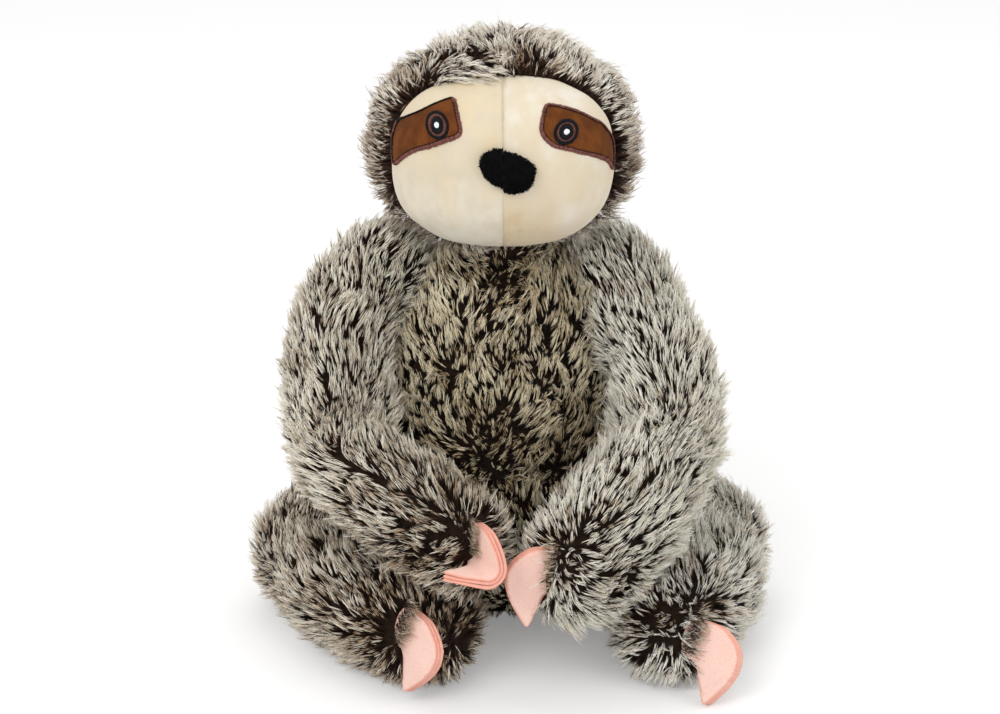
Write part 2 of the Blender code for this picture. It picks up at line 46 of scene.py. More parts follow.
# The solids' own forms, in millimetres, as the construction gives them
torsoForm = {
    "setBack": 5, "depthShare": 86 / 105,
    "profile": [(0, 262), (31.5, 259.4), (50.4, 248.9), (66.2, 230.5), (80.9, 193.8), (92.4, 151.8),
                (100.8, 109.8), (105, 70.4), (100.8, 33.6), (87.2, 8.7), (65.1, 0), (0, 0)],
}
headForm = {"centre": (0, 5, 336), "halves": (87, 78, 70)}
faceForm = {"centre": (0, -38, 334), "halves": (73, 55, 57), "boxy": 2.5}
neckForm = {"centre": (0, 5, 268), "halves": (34, 34, 34)}
limbForms = {
    "upper_arm_left": [(-80, 5, 242, 31), (-97.5, -5, 225.8, 32), (-108.8, -25, 203.3, 33),
                       (-112.5, -45, 178.3, 33), (-108.8, -68.8, 149.5, 33)],
    "forearm_left": [(-108.8, -68.8, 149.5, 29.2), (-101.9, -86, 136.9, 31.6),
                     (-76.6, -105.6, 125.4, 31.6), (-52.4, -120.5, 115, 31.6),
                     (-29.4, -130.9, 101.2, 32)],
    "thigh_left": [(-62, 5, 39.4, 39.9), (-104.8, -0.3, 41.5, 42), (-130.3, -28, 41.5, 42)],
    "lower_leg_left": [(-130.3, -28, 36.2, 36.7), (-112.3, -66.4, 38.1, 38.6),
                       (-84.7, -100, 37.7, 38.2), (-55.9, -124, 37.7, 38.2)],
    "upper_arm_right": [(73.8, 5, 238.3, 30.4), (83.8, -3.8, 227, 31.7), (95, -23.8, 207, 33),
                        (107.5, -42.5, 187, 33), (111.3, -77.5, 152, 33)],
    "forearm_right": [(111.3, -77.5, 152, 29.2), (96.3, -104, 133.6, 34),
                      (74.5, -123.5, 111.8, 36.7), (49.2, -138.5, 86.5, 35.4)],
    "thigh_right": [(62, 5, 39.4, 39.9), (107.8, 5, 41.5, 42), (143, -16, 41.5, 42)],
    "lower_leg_right": [(143, -16, 36.2, 36.7), (139.4, -60.4, 38.1, 38.6),
                        (127.4, -95.2, 37.7, 38.2), (113, -121.6, 37.7, 38.2)],
}


def paint(red, green, blue):
    # A colour as a screen shows it, made linear
    return tuple((c / 255 / 12.92 if c < 11 else ((c / 255 + 0.055) / 1.055) ** 2.4)
                 for c in (red, green, blue)) + (1,)


def smoothLine(points, steps, closed=False):
    # A Catmull-Rom line through points of any number of values
    points = np.asarray(points, float)
    if closed:
        ends = np.vstack([points[-1:], points, points[:2]])
    else:
        ends = np.vstack([points[:1], points, points[-1:]])
    line = []
    for i in range(len(ends) - 3):
        before, here, there, after = ends[i:i + 4]
        for t in np.arange(steps) / steps:
            line.append(0.5 * (2 * here + (there - before) * t
                               + (2 * before - 5 * here + 4 * there - after) * t * t
                               + (3 * here - before - 3 * there + after) * t ** 3))
    if not closed:
        line.append(points[-1])
    return np.array(line)


def unit(vectors):
    return vectors / np.maximum(np.linalg.norm(vectors, axis=-1, keepdims=True), 1e-9)


def rowDot(a, b):
    return np.sum(a * b, axis=-1, keepdims=True)


def wander(points, size, seed, count=8):
    # A smooth value of about -1 to 1 that wanders over the given size
    source = np.random.default_rng(seed)
    total = np.zeros(len(points))
    for i in range(count):
        way = unit(source.normal(size=3)) * source.uniform(0.6, 1.5) * 2 * pi / size
        total += np.sin(points @ way + source.uniform(0, 2 * pi))
    return total * 1.2 / sqrt(count)


def ease(values, low, high):
    t = np.clip((values - low) / (high - low), 0, 1)
    return t * t * (3 - 2 * t)


def bell(away, size):
    # 1 at no distance, and almost nothing at twice the size, which is in mm
    return np.exp(-(away / (size * mm)) ** 2)


def wanderWays(points, size, seed):
    return np.stack([wander(points, size, seed + i) for i in range(3)], 1)


def moved(points, place):
    return points @ place[:3, :3].T + place[:3, 3]


limbLines = {name: smoothLine(np.array(rows) * mm, 5) for name, rows in limbForms.items()}
torsoProfile = np.array(torsoForm["profile"]) * mm


def lineGap(points, a, b):
    # How far each point is from the line between a and b, and its nearest place's share of it
    along = b - a
    share = np.clip((points - a) @ along / max(along @ along, 1e-12), 0, 1)
    return np.linalg.norm(points - a - share[:, None] * along, axis=1), share


def edgeGap(points, outline):
    ends = zip(outline, np.roll(outline, -1, 0))
    return np.min([lineGap(points, a, b)[0] for a, b in ends], 0)


def inPolygon(points, outline):
    inside = np.zeros(len(points), bool)
    for a, b in zip(outline, np.roll(outline, -1, 0)):
        crosses = (a[1] > points[:, 1]) != (b[1] > points[:, 1])
        slope = (b[0] - a[0]) / (b[1] - a[1] if b[1] != a[1] else 1e-12)
        inside ^= crosses & (points[:, 0] < a[0] + (points[:, 1] - a[1]) * slope)
    return inside


def limbGap(name, points):
    line = limbLines[name]
    best = np.full(len(points), 9.0)
    for a, b in zip(line[:-1], line[1:]):
        away, share = lineGap(points, a[:3], b[:3])
        best = np.minimum(best, away - a[3] - share * (b[3] - a[3]))
    return best


def limbAxis(name, points):
    # The limb's direction, from its sewn end to its paw, at the place nearest to each point
    line = limbLines[name]
    middle = (line[1:, :3] + line[:-1, :3]) / 2
    ways = unit(line[1:, :3] - line[:-1, :3])
    apart = np.linalg.norm(points[:, None] - middle[None], axis=2)
    weight = np.exp(-(apart / 0.02) ** 2 + (apart.min(1, keepdims=True) / 0.02) ** 2)
    return unit(weight @ ways)


def torsoGap(points):
    back = torsoForm["setBack"] * mm
    flat = np.stack([np.hypot(points[:, 0], (points[:, 1] - back) / torsoForm["depthShare"]),
                     points[:, 2]], 1)
    ends = zip(torsoProfile[:-1], torsoProfile[1:])
    best = np.min([lineGap(flat, a, b)[0] for a, b in ends], 0)
    return np.where(inPolygon(flat, torsoProfile), -best, best)


def ballGap(form, points):
    halves = np.array(form["halves"]) * mm
    away = (points - np.array(form["centre"]) * mm) / halves
    boxy = form.get("boxy", 2)
    across = (np.abs(away[:, 0]) ** boxy + np.abs(away[:, 2]) ** boxy) ** (1 / boxy)
    reach = np.hypot(across, away[:, 1])
    steep = np.linalg.norm(away / halves, axis=1)
    return reach * (reach - 1) / np.maximum(steep, 1e-6)


def gapTo(form, points):
    if form in limbForms:
        return limbGap(form, points)
    if form == "torso":
        return torsoGap(points)
    return ballGap({"head": headForm, "face": faceForm, "neck": neckForm}[form], points)


def placed(name, data):
    made = bpy.data.objects.new(name, data)
    bpy.context.scene.collection.objects.link(made)
    return made


def meshObject(name, verts, faces):
    mesh = bpy.data.meshes.new(name)
    mesh.from_pydata([tuple(v) for v in verts], [], [tuple(f) for f in faces])
    mesh.update()
    mesh.shade_smooth()
    return placed(name, mesh)


def closedSheet(name, verts, faces):
    # The points of a sheet's top and then of its underside, joined by a rim
    side = len(verts) // 2
    edges = {(a, b) for f in faces for a, b in zip(f, f[1:] + f[:1])}
    closed = faces + [tuple(i + side for i in f[::-1]) for f in faces]
    closed += [(b, a, a + side, b + side) for a, b in sorted(edges) if (b, a) not in edges]
    return meshObject(name, verts, closed)


def storeShare(made, name, values):
    # A value at each point, for the materials to read
    attribute = made.data.attributes.new(name, "FLOAT", "POINT")
    attribute.data.foreach_set("value", values.astype(np.float32))


def dress(made, material, body, slot, *nodes):
    made.data.materials.append(material)
    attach(made, body)
    if nodes:
        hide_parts(*nodes)


def ringsMesh(rings, first, last):
    # Faces over a stack of equal rings with a point at each end
    count, around = len(rings), len(rings[0])
    verts = np.vstack([[first], np.reshape(rings, (-1, 3)), [last]])
    ahead, across = rings[1][0] - rings[0][0], rings[0][1] - rings[0][0]
    inward = np.cross(across, ahead) @ (rings[0][0] - np.mean(rings[0], 0)) < 0
    faces = []
    for j in range(around):
        k = (j + 1) % around
        faces.append((0, 1 + k, 1 + j))
        for i in range(count - 1):
            a, b = 1 + i * around, 1 + (i + 1) * around
            faces.append((a + j, a + k, b + k, b + j))
        end = 1 + (count - 1) * around
        faces.append((end + j, end + k, len(verts) - 1))
    return verts, [f[::-1] for f in faces] if inward else faces


def tubeSurface(line, offset, around=28, capSteps=6):
    # A limb's backing: a tube along the line with a round end past each of its ends
    centres, radii = line[:, :3], line[:, 3] + offset
    ways = unit(np.gradient(centres, axis=0))
    side = unit(np.cross(ways[0], (0.3, 0.2, 1)))
    spots = [(centres[0] - ways[0] * radii[0] * sin(a), radii[0] * cos(a), ways[0])
             for a in np.linspace(radians(80), radians(12), capSteps)]
    spots += list(zip(centres, radii, ways))
    spots += [(centres[-1] + ways[-1] * radii[-1] * sin(a), radii[-1] * cos(a), ways[-1])
              for a in np.linspace(radians(12), radians(80), capSteps)]
    rings = []
    turns = np.linspace(0, 2 * pi, around, endpoint=False)
    for centre, radius, way in spots:
        side = unit(side - way * (side @ way))
        up = np.cross(way, side)
        rings.append([centre + radius * (side * cos(t) + up * sin(t)) for t in turns])
    return ringsMesh(rings, centres[0] - ways[0] * radii[0], centres[-1] + ways[-1] * radii[-1])


def torsoSurface(offset, around=48):
    profile = smoothLine(torsoProfile, 3)[1:-1]
    along = unit(np.gradient(profile, axis=0))
    profile = profile + offset * np.stack([-along[:, 1], along[:, 0]], 1)
    profile = profile[profile[:, 0] > 0.004]
    # tucked in at the seat, where the pile is short
    profile[:, 0] -= 0.009 * (1 - ease(profile[:, 1], 0.0, 0.04)) * ease(profile[:, 0], 0.02, 0.08)
    back, depth = torsoForm["setBack"] * mm, torsoForm["depthShare"]
    turns = np.linspace(0, 2 * pi, around, endpoint=False)
    rings = [[np.array((r * cos(t), back + r * depth * sin(t), z)) for t in turns]
             for r, z in profile]
    return ringsMesh(rings, (0, back, profile[0][1]), (0, back, profile[-1][1]))


def ballSurface(form, offset, around=48, count=30):
    centre = np.array(form["centre"]) * mm
    halves = np.array(form["halves"]) * mm + offset
    turns = np.linspace(0, 2 * pi, around, endpoint=False)
    rings = []
    for a in np.linspace(0, pi, count)[1:-1]:
        rings.append([centre + halves * (sin(a) * cos(t), -cos(a), sin(a) * sin(t)) for t in turns])
    return ringsMesh(rings, centre - (0, halves[1], 0), centre + (0, halves[1], 0))


# Strands: fur, nose pile and stitches

def strandMesh(name, paths, radii, ups, sides, tints, spread=0.01):
    # Closed strands along paths of shape (strands, points, 3). One with no radius at its last
    # point ends in a tip. The map holds each strand's tint across and its length upwards.
    count, points = paths.shape[:2]
    pointed = int(radii[0, -1] == 0)
    rings = points - 1 if pointed else points
    ways = unit(np.gradient(paths, axis=1))
    turns = 2 * pi * np.arange(sides) / sides
    verts = []
    for i in range(rings):
        side = unit(np.cross(ways[:, i], ups))
        up = np.cross(side, ways[:, i])
        ring = [paths[:, i] + radii[:, i:i + 1] * (side * cos(t) + up * sin(t)) for t in turns]
        verts.append(np.stack(ring, 1))
    verts = np.concatenate(verts, 1)
    if pointed:
        verts = np.concatenate([verts, paths[:, -1:]], 1)
    each = verts.shape[1]
    steps = np.linalg.norm(np.diff(paths, axis=1), axis=2).mean(0)
    along = np.concatenate([[0], np.cumsum(steps) / steps.sum()])
    faces = [list(range(sides))[::-1]]
    for i in range(rings - 1):
        for j in range(sides):
            k, a, b = (j + 1) % sides, i * sides, (i + 1) * sides
            faces.append([a + j, a + k, b + k, b + j])
    last = (rings - 1) * sides
    if pointed:
        faces += [[last + j, last + (j + 1) % sides, each - 1] for j in range(sides)]
    else:
        faces.append([last + j for j in range(sides)])
    corners, sizes = np.concatenate(faces), np.array([len(f) for f in faces])
    across = np.concatenate([np.tile(np.linspace(-1, 1, sides), rings), [0] * pointed])
    upward = np.concatenate([np.repeat(along[:rings], sides), [1] * pointed])
    upward[1:sides - 1] += 0.03
    if not pointed:
        upward[last + 1:last + sides - 1] -= 0.03
    mesh = bpy.data.meshes.new(name)
    mesh.vertices.add(count * each)
    mesh.vertices.foreach_set("co", verts.astype(np.float32).ravel())
    loops = (corners[None] + each * np.arange(count)[:, None]).astype(np.int32).ravel()
    starts = np.concatenate([[0], np.cumsum(sizes)[:-1]])
    starts = (starts[None] + len(corners) * np.arange(count)[:, None]).astype(np.int32).ravel()
    mesh.loops.add(len(loops))
    mesh.loops.foreach_set("vertex_index", loops)
    mesh.polygons.add(len(starts))
    mesh.polygons.foreach_set("loop_start", starts)
    mesh.update(calc_edges=True)
    layer = mesh.uv_layers.new(name="OFBake")
    across = np.clip(tints, 0.02, 0.98)[:, None] + spread * across[corners][None]
    places = np.stack([across, np.broadcast_to(upward[corners], across.shape)], 2)
    layer.data.foreach_set("uv", places.astype(np.float32).ravel())
    mesh.shade_smooth()
    return placed(name, mesh)


def scatter(surface, density, seed):
    # Even random places over a surface, with its normal there
    verts, faces = surface
    corners = []
    for f in faces:
        corners.append(f[:3])
        if len(f) == 4:
            corners.append((f[0], f[2], f[3]))
    corners = np.array(corners)
    a, b, c = (verts[corners[:, i]] for i in range(3))
    cross = np.cross(b - a, c - a)
    area = np.linalg.norm(cross, axis=1) / 2
    normals = np.zeros_like(verts)
    for i in range(3):
        np.add.at(normals, corners[:, i], cross)
    normals = unit(normals)
    source = np.random.default_rng(seed)
    count = int(area.sum() * density)
    pick = np.searchsorted(np.cumsum(area), (np.arange(count) + source.random(count))
                           / count * area.sum() * 0.999999)
    s, t = source.random((2, count))
    over = s + t > 1
    s, t = np.where(over, 1 - s, s)[:, None], np.where(over, 1 - t, t)[:, None]
    places = a[pick] * (1 - s - t) + b[pick] * s + c[pick] * t
    na, nb, nc = (normals[corners[pick, i]] for i in range(3))
    return places, unit(na * (1 - s - t) + nb * s + nc * t)


furLook = {
    "backing": -3.0,        # depth of the backing under the solid's surface, mm
    "locks": 142000,        # to a square metre
    "strands": 4,           # in a lock
    "length": 13.5,         # mm
    "lift": 39,             # degrees off the cloth
    "width": 0.35,          # mm across a strand
    "lockSpread": 0.50,     # mm from a lock's middle to its roots
    "gather": 0.24,         # how far a lock's tips run together
    "frayed": 0.5,          # mm that a tip strays
    "unrest": 0.36,         # how much the comb wanders
    "loose": 0.11,          # how much each lock goes its own way
    "partLift": 32,         # degrees more in a parting
    "partLoose": 0.65,
    "partShade": 0.34,
    "tufts": 9000,          # to a square metre
    "tuftPull": 0.3,        # how far the locks of a tuft lean together
    "tint": 0.72,           # 0 for the dull tips, 1 for the pale ones
    "liftVaries": (11, 8),              # degrees, by place and by lock
    "lengthVaries": (0.10, 0.15, 0.12),     # shares, by place, by lock and by strand
    "tintVaries": (0.14, 0.3, 0.17),        # by place, by lock and by strand
    "bow": (0.15, 0.04, 0.035),     # rise over a straight strand, how it varies, to the side
    "rootDepth": 0.8,       # mm into the cloth
    "floorGap": 0.5,        # mm
    "mostFaces": 180000,    # triangles to a piece
}


def nearestOf(points, centres):
    # The nearest centre to each point, in batches that keep the table small
    found = []
    for batch in np.array_split(points, max(1, len(points) // 2000)):
        apart = (rowDot(batch, batch) + np.sum(centres * centres, 1)[None]
                 - 2 * batch @ centres.T)
        found.append(np.argmin(apart, 1))
    return np.concatenate(found)


def pushOut(points, form, clear):
    # Moves the points that are closer than clear to a form straight out of it
    gap = gapTo(form, points)
    close = np.flatnonzero(gap < clear)
    if not len(close):
        return points
    spots, step = points[close], 0.0005
    slope = np.stack([gapTo(form, spots + np.eye(3)[i] * step) - gap[close]
                      for i in range(3)], 1) / step
    points[close] = spots + unit(slope) * (clear - gap)[close][:, None]
    return points


def touches(paths, tree, reach):
    # Which strands come within reach of the felt
    shares = (0.0, 0.33, 0.67, 1.0)
    return np.array([any(tree.find_nearest(Vector(a + (b - a) * share), reach)[0] is not None
                         for a, b in zip(path[:-1], path[1:]) for share in shares)
                     for path in paths], bool)


# how fur lies round a paw's felt, in the felt's own directions, mm
sewnEdge = {
    "strands": 230, "across": (-8, -2), "along": (-7, 25), "reach": (8, 13),
    "rise": (-0.75, -2.8, -2.9, -1.3), "shares": (0, 0.38, 0.75, 1.0),
    "stack": 7.4,           # depth of the three layers with their slack
    "clear": (0.7, 2.0), "inside": (-0.5, 7.2), "before": 2,
}


def roundFelt(felt, paths, radii, ups, tints, source, seed):
    # Keeps the strands before or behind the felt, and lays more over its sewn edge
    place, outline, bend = felt
    back = np.linalg.inv(place)
    local = moved(paths, back) / mm
    spot = local.reshape(-1, 3)
    over = (inPolygon(spot[:, :2], outline) & (spot[:, 1] < bend)).reshape(local.shape[:2])
    foot = local[:, 0]
    beside = ~over[:, 0] & ((foot[:, 2] < sewnEdge["before"]) | (foot[:, 0] < 0))
    rooted = beside | (foot[:, 2] < 0)
    clear = source.uniform(*sewnEdge["clear"], len(paths))
    behind = sewnEdge["stack"] + clear
    for i in (1, 2, 3):
        move = over[:, i] & rooted & (local[:, i, 2] > -clear)
        local[move, i, 2] = -clear[move]
        move = over[:, i] & ~rooted & (local[:, i, 2] < behind)
        local[move, i, 2] = behind[move]
    low, high = sewnEdge["inside"]
    outside = ~(over[:, 0] & (local[:, 0, 2] > low) & (local[:, 0, 2] < high))
    count = sewnEdge["strands"]
    start = np.column_stack([source.uniform(*sewnEdge["across"], count),
                             source.uniform(*sewnEdge["along"], count)])
    level = np.pad(start, ((0, 0), (0, 1)))
    turn = source.normal(size=count) * 0.25 + 0.35 * wander(level, 5, seed)
    reach = source.uniform(*sewnEdge["reach"], count) * (1 + 0.15 * wander(level, 4, 3))
    heights = source.uniform(0.8, 1.5, (count, 1)) * sewnEdge["rise"]
    extra = np.stack([np.column_stack([start[:, 0] + np.cos(turn) * reach * share,
                                       start[:, 1] + np.sin(turn) * reach * share, heights[:, i]])
                      for i, share in enumerate(sewnEdge["shares"])], 1)
    paths = moved(np.concatenate([local[outside], extra]) * mm, place)
    facing = unit(np.array([place[:3, 2]]) * -1)
    ups = np.concatenate([ups[outside], np.repeat(facing, count, 0)])
    radii = np.concatenate([radii[outside], radii[:count]])
    tints = np.concatenate([tints[outside], source.normal(size=count) * 0.25 + 0.2])
    return paths, radii, ups, tints


def growFur(body, surface, lie, partings, near, clear, look, seed, felt=None, combs=()):
    # Grows locks of strands on a surface. lie gives the way they are combed at each place
    look = {**furLook, **look}
    source = np.random.default_rng(seed)
    roots, normals = scatter(surface, look["locks"], seed)
    keep = np.ones(len(roots), bool)
    for form, depth in near:
        keep &= gapTo(form, roots) > depth * mm
    keep &= roots[:, 2] > look.get("lowest", 0) * mm
    roots, normals = roots[keep], normals[keep]
    way = lie(roots)
    raised, dim = np.zeros((2, len(roots)))
    loose = np.full(len(roots), look["loose"])
    for centre, size, pull in partings:
        away = roots - np.array(centre) * mm
        away -= normals * rowDot(away, normals)
        far = np.linalg.norm(away, axis=1, keepdims=True)
        way = way + pull * bell(far, size) * away / np.maximum(far, 1e-5)
        raised += look["partLift"] * bell(far[:, 0], size * 0.5)
        loose += look["partLoose"] * bell(far[:, 0], size * 0.6)
        dim += look["partShade"] * bell(far[:, 0], size * 0.8)
    for centre, size, pull in combs:
        far = np.linalg.norm(roots - np.array(centre) * mm, axis=1, keepdims=True)
        way = way + bell(far, size) * np.array(pull)
    way = way + look["unrest"] * (wanderWays(roots, 0.05, seed * 7)
                                  + 0.45 * wanderWays(roots, 0.014, seed * 7 + 3))
    way = way + source.normal(size=way.shape) * loose[:, None]
    way = unit(way - normals * rowDot(way, normals))
    count = len(roots)
    wide, own = look["liftVaries"]
    lift = radians(1) * (look["lift"] + raised + wide * wander(roots, 0.024, seed * 7 + 8)
                         + source.normal(size=count) * own)
    lift = np.clip(lift, radians(8), radians(80))[:, None]
    wide, own, single = look["lengthVaries"]
    length = mm * look["length"] * (1 + wide * wander(roots, 0.04, seed * 7 + 9)
                                    + own * source.normal(size=count))[:, None]
    for centre, size, darker, longer in look.get("spots", ()):
        near = bell(np.linalg.norm(roots - np.array(centre) * mm, axis=1), size)
        # the spots' darkening is partly painted shade, under the chin and beside the right arm
        dim += darker * near
        length *= 1 + longer * near[:, None]
    if "shorten" in look:
        length *= look["shorten"](roots)[:, None]
    lean = way * np.cos(lift) + normals * np.sin(lift)
    tufts = np.flatnonzero(source.random(count) < look["tufts"] / look["locks"])
    middle = roots + lean * length
    lead = middle[tufts][nearestOf(roots, roots[tufts])]
    hold = look["tuftPull"] * (1 + wander(roots, 0.02, seed * 7 + 11))[:, None]
    middle = middle + (lead - middle) * np.clip(hold, 0, 0.75)
    lean = unit(middle - roots)
    wide, own, each = look["tintVaries"]
    tint = (look["tint"] + wide * wander(roots, 0.035, seed * 7 + 10) - dim
            + source.normal(size=count) * own)
    strands = look["strands"]
    shift = source.normal(size=(count, strands, 3)) * look["lockSpread"] * mm
    shift -= normals[:, None] * np.sum(shift * normals[:, None], 2, keepdims=True)
    root = roots[:, None] + shift
    grown = length[:, None] * (1 + source.normal(size=(count, strands, 1)) * single)
    tip = root + lean[:, None] * grown
    middle = (roots + lean * length)[:, None]
    tip += (middle - tip) * look["gather"] * source.uniform(0.5, 1.2, (count, strands, 1))
    tip += source.normal(size=tip.shape) * look["frayed"] * mm
    # a strand rises first and then leans over, a little to one side
    rise, varies, aside = look["bow"]
    bow = (normals[:, None] * (rise + varies * source.normal(size=(count, 1, 1)))
           + np.cross(normals, way)[:, None] * aside * source.normal(size=(count, 1, 1))) * grown
    steps = []
    for share, rise in ((0.42, 1.0), (0.8, 0.62)):
        steps.append(root + (tip - root) * share + bow * rise
                     + source.normal(size=tip.shape) * 0.08 * mm)
    sunk = root - normals[:, None] * look["rootDepth"] * mm
    paths = np.stack([sunk, *steps, tip], 2).reshape(-1, 4, 3)
    for form, gap in clear:
        for i in (1, 2, 3):
            margin = gap * mm * source.uniform(0.6, 2.2, len(paths))
            paths[:, i] = pushOut(paths[:, i], form, margin)
    low = look["floorGap"] * mm * source.uniform(0.6, 3, len(paths))
    for i in (1, 2, 3):
        paths[:, i, 2] = np.maximum(paths[:, i, 2], low)
    ups = np.repeat(normals, strands, 0)
    wide = mm * look["width"] * 0.5 * source.uniform(0.75, 1.25, (len(paths), 1))
    radii = np.concatenate([wide, wide * 1.1, wide * 0.9, wide * 0], 1)
    tints = np.repeat(tint, strands) + source.normal(size=len(paths)) * each
    if felt:
        paths, radii, ups, tints = roundFelt(felt, paths, radii, ups, tints, source, seed)
    far = np.min([np.linalg.norm(paths[:, 1] - q, axis=1) for q in feltSpots], 0)
    close = np.flatnonzero(far < 0.03)
    keep = np.ones(len(paths), bool)
    keep[close] = ~touches(paths[close], feltTree, 0.0005)
    paths, radii, ups, tints = paths[keep], radii[keep], ups[keep], tints[keep]
    pieces = int(np.ceil(len(paths) * 16 / look["mostFaces"]))
    middle = paths[:, 0].mean(0)
    order = np.argsort(np.arctan2(paths[:, 0, 0] - middle[0], paths[:, 0, 1] - middle[1]),
                       kind="stable")
    made = []
    for i, chunk in enumerate(np.array_split(order, pieces)):
        name = "fur_" + body + ("_" + str(i + 1) if pieces > 1 else "")
        fur = strandMesh(name, paths[chunk], radii[chunk], ups[chunk], 3, tints[chunk])
        dress(fur, furMaterials[furKey(body)], body, "frosted_fur")
        made.append(fur)
    return made


# Materials

def feed(tree, value, socket):
    # Links another node's output to a socket, or sets a plain value there
    if isinstance(value, bpy.types.NodeSocket):
        tree.links.new(value, socket)
    else:
        socket.default_value = value


def nodeGroup(name, inputs, outputs):
    # An input with four values is a colour, and so is the output called Colour
    group = bpy.data.node_groups.new(name, "ShaderNodeTree")
    for label, value in inputs:
        kind = "NodeSocketColor" if isinstance(value, tuple) else "NodeSocketFloat"
        socket = group.interface.new_socket(label, in_out="INPUT", socket_type=kind)
        socket.default_value = value
    for label in outputs:
        kind = "NodeSocketColor" if label == "Colour" else "NodeSocketFloat"
        group.interface.new_socket(label, in_out="OUTPUT", socket_type=kind)
    start = group.nodes.new("NodeGroupInput")
    end = group.nodes.new("NodeGroupOutput")
    return group, start.outputs, end.inputs


def calc(tree, operation, first, second, clamp=False):
    node = tree.nodes.new("ShaderNodeMath")
    node.operation = operation
    node.use_clamp = clamp
    feed(tree, first, node.inputs[0])
    feed(tree, second, node.inputs[1])
    return node.outputs[0]


def blendColour(tree, share, first, second):
    node = tree.nodes.new("ShaderNodeMix")
    node.data_type = "RGBA"
    for number, value in ((0, share), (6, first), (7, second)):
        feed(tree, value, node.inputs[number])
    return node.outputs[2]


def spanOf(tree, value, low, high, smooth=True):
    node = tree.nodes.new("ShaderNodeMapRange")
    node.interpolation_type = "SMOOTHSTEP" if smooth else "LINEAR"
    for number, given in enumerate((value, low, high)):
        feed(tree, given, node.inputs[number])
    return node.outputs[0]


def noiseOf(tree, place, size, detail=3, stretch=None):
    if stretch:
        mapping = tree.nodes.new("ShaderNodeMapping")
        mapping.inputs["Scale"].default_value = stretch
        feed(tree, place, mapping.inputs["Vector"])
        place = mapping.outputs[0]
    node = tree.nodes.new("ShaderNodeTexNoise")
    node.inputs["Scale"].default_value = 1 / size
    node.inputs["Detail"].default_value = detail
    feed(tree, place, node.inputs["Vector"])
    return node.outputs["Fac"]


def makeFrostGroup():
    # A fibre dyed dark at its root and frosted at its tip; tint picks a duller or paler tip
    group, given, ends = nodeGroup("frostedFibre", [
        ("Root", (0, 0, 0, 1)), ("Dull Tip", (0, 0, 0, 1)), ("Pale Tip", (1, 1, 1, 1)),
        ("Tint", 0.5), ("Along", 0.5), ("Frost Start", 0.35), ("Frost End", 0.6)], ["Colour"])
    tips = blendColour(group, spanOf(group, given["Tint"], 0.2, 0.9, False),
                       given["Dull Tip"], given["Pale Tip"])
    late = calc(group, "MULTIPLY", calc(group, "SUBTRACT", 0.6, given["Tint"]), 0.35)
    low = calc(group, "ADD", given["Frost Start"], late)
    high = calc(group, "ADD", given["Frost End"], late)
    frost = spanOf(group, given["Along"], low, high)
    feed(group, blendColour(group, frost, given["Root"], tips), ends["Colour"])
    return group


# sizes of the marks in the cloths, metres
napLook = {"broad": 0.030, "lying": 0.009, "hair": 0.0007}
feltLook = {"matted": 0.0010, "cloud": 0.007, "fibres": 0.0005}


def makeNapGroup():
    # Short pile: soft blotches where the nap lies over, and fine hair to feel
    group, given, ends = nodeGroup("shortNap", [
        ("Colour", (1, 1, 1, 1)), ("Shade", (0.8, 0.8, 0.8, 1)), ("Blotch Amount", 0.5)],
        ["Colour", "Height", "Roughness"])
    place = group.nodes.new("ShaderNodeTexCoord").outputs["Object"]
    broad = noiseOf(group, place, napLook["broad"], 2)
    lying = noiseOf(group, place, napLook["lying"], 5, (1, 1, 0.6))
    hair = noiseOf(group, place, napLook["hair"], 3, (1, 1, 0.45))
    mixed = calc(group, "ADD", calc(group, "MULTIPLY", broad, 0.45),
                 calc(group, "MULTIPLY", lying, 0.55))
    share = calc(group, "MULTIPLY", spanOf(group, mixed, 0.38, 0.62), given["Blotch Amount"],
                 clamp=True)
    colour = blendColour(group, share, given["Colour"], given["Shade"])
    speck = calc(group, "MULTIPLY", spanOf(group, hair, 0.3, 0.75), 0.35)
    feed(group, blendColour(group, speck, colour, given["Shade"]), ends["Colour"])
    feed(group, calc(group, "ADD", hair, calc(group, "MULTIPLY", lying, 0.8)), ends["Height"])
    feed(group, calc(group, "ADD", 0.78, calc(group, "MULTIPLY", hair, 0.2)), ends["Roughness"])
    return group


def makeFeltGroup():
    # Pressed felt: matted fibres with specks, and a deeper coral along each layer's cut edge, which
    # is partly painted shade between the layers
    group, given, ends = nodeGroup("pressedFelt", [
        ("Colour", (1, 1, 1, 1)), ("Cut Colour", (1, 0.5, 0.4, 1)), ("Cut", 0)],
        ["Colour", "Height", "Roughness"])
    place = group.nodes.new("ShaderNodeTexCoord").outputs["Object"]
    matted = noiseOf(group, place, feltLook["matted"], 5)
    cloud = noiseOf(group, place, feltLook["cloud"], 3)
    fibres = noiseOf(group, place, feltLook["fibres"], 2, (1, 0.4, 1))
    deep = blendColour(group, 0.5, given["Colour"], given["Cut Colour"])
    speck = calc(group, "MULTIPLY", spanOf(group, matted, 0.44, 0.68), 0.7)
    colour = blendColour(group, speck, given["Colour"], deep)
    clouded = calc(group, "MULTIPLY", spanOf(group, cloud, 0.4, 0.7), 0.18)
    colour = blendColour(group, clouded, colour, deep)
    feed(group, blendColour(group, given["Cut"], colour, given["Cut Colour"]), ends["Colour"])
    feed(group, calc(group, "ADD", matted, calc(group, "MULTIPLY", fibres, 0.6)), ends["Height"])
    feed(group, calc(group, "ADD", 0.82, calc(group, "MULTIPLY", matted, 0.16)),
         ends["Roughness"])
    return group


groups = {"frost": makeFrostGroup(), "nap": makeNapGroup(), "felt": makeFeltGroup()}


def newMaterial(name, sheen=0.0, specular=0.3, roughness=0.7):
    made = bpy.data.materials.new(name)
    made.use_nodes = True
    shader = made.node_tree.nodes["Principled BSDF"]
    for label, value in (("Roughness", roughness), ("Specular IOR Level", specular),
                         ("Sheen Weight", sheen), ("Sheen Roughness", 0.5)):
        shader.inputs[label].default_value = value
    return made, made.node_tree, shader


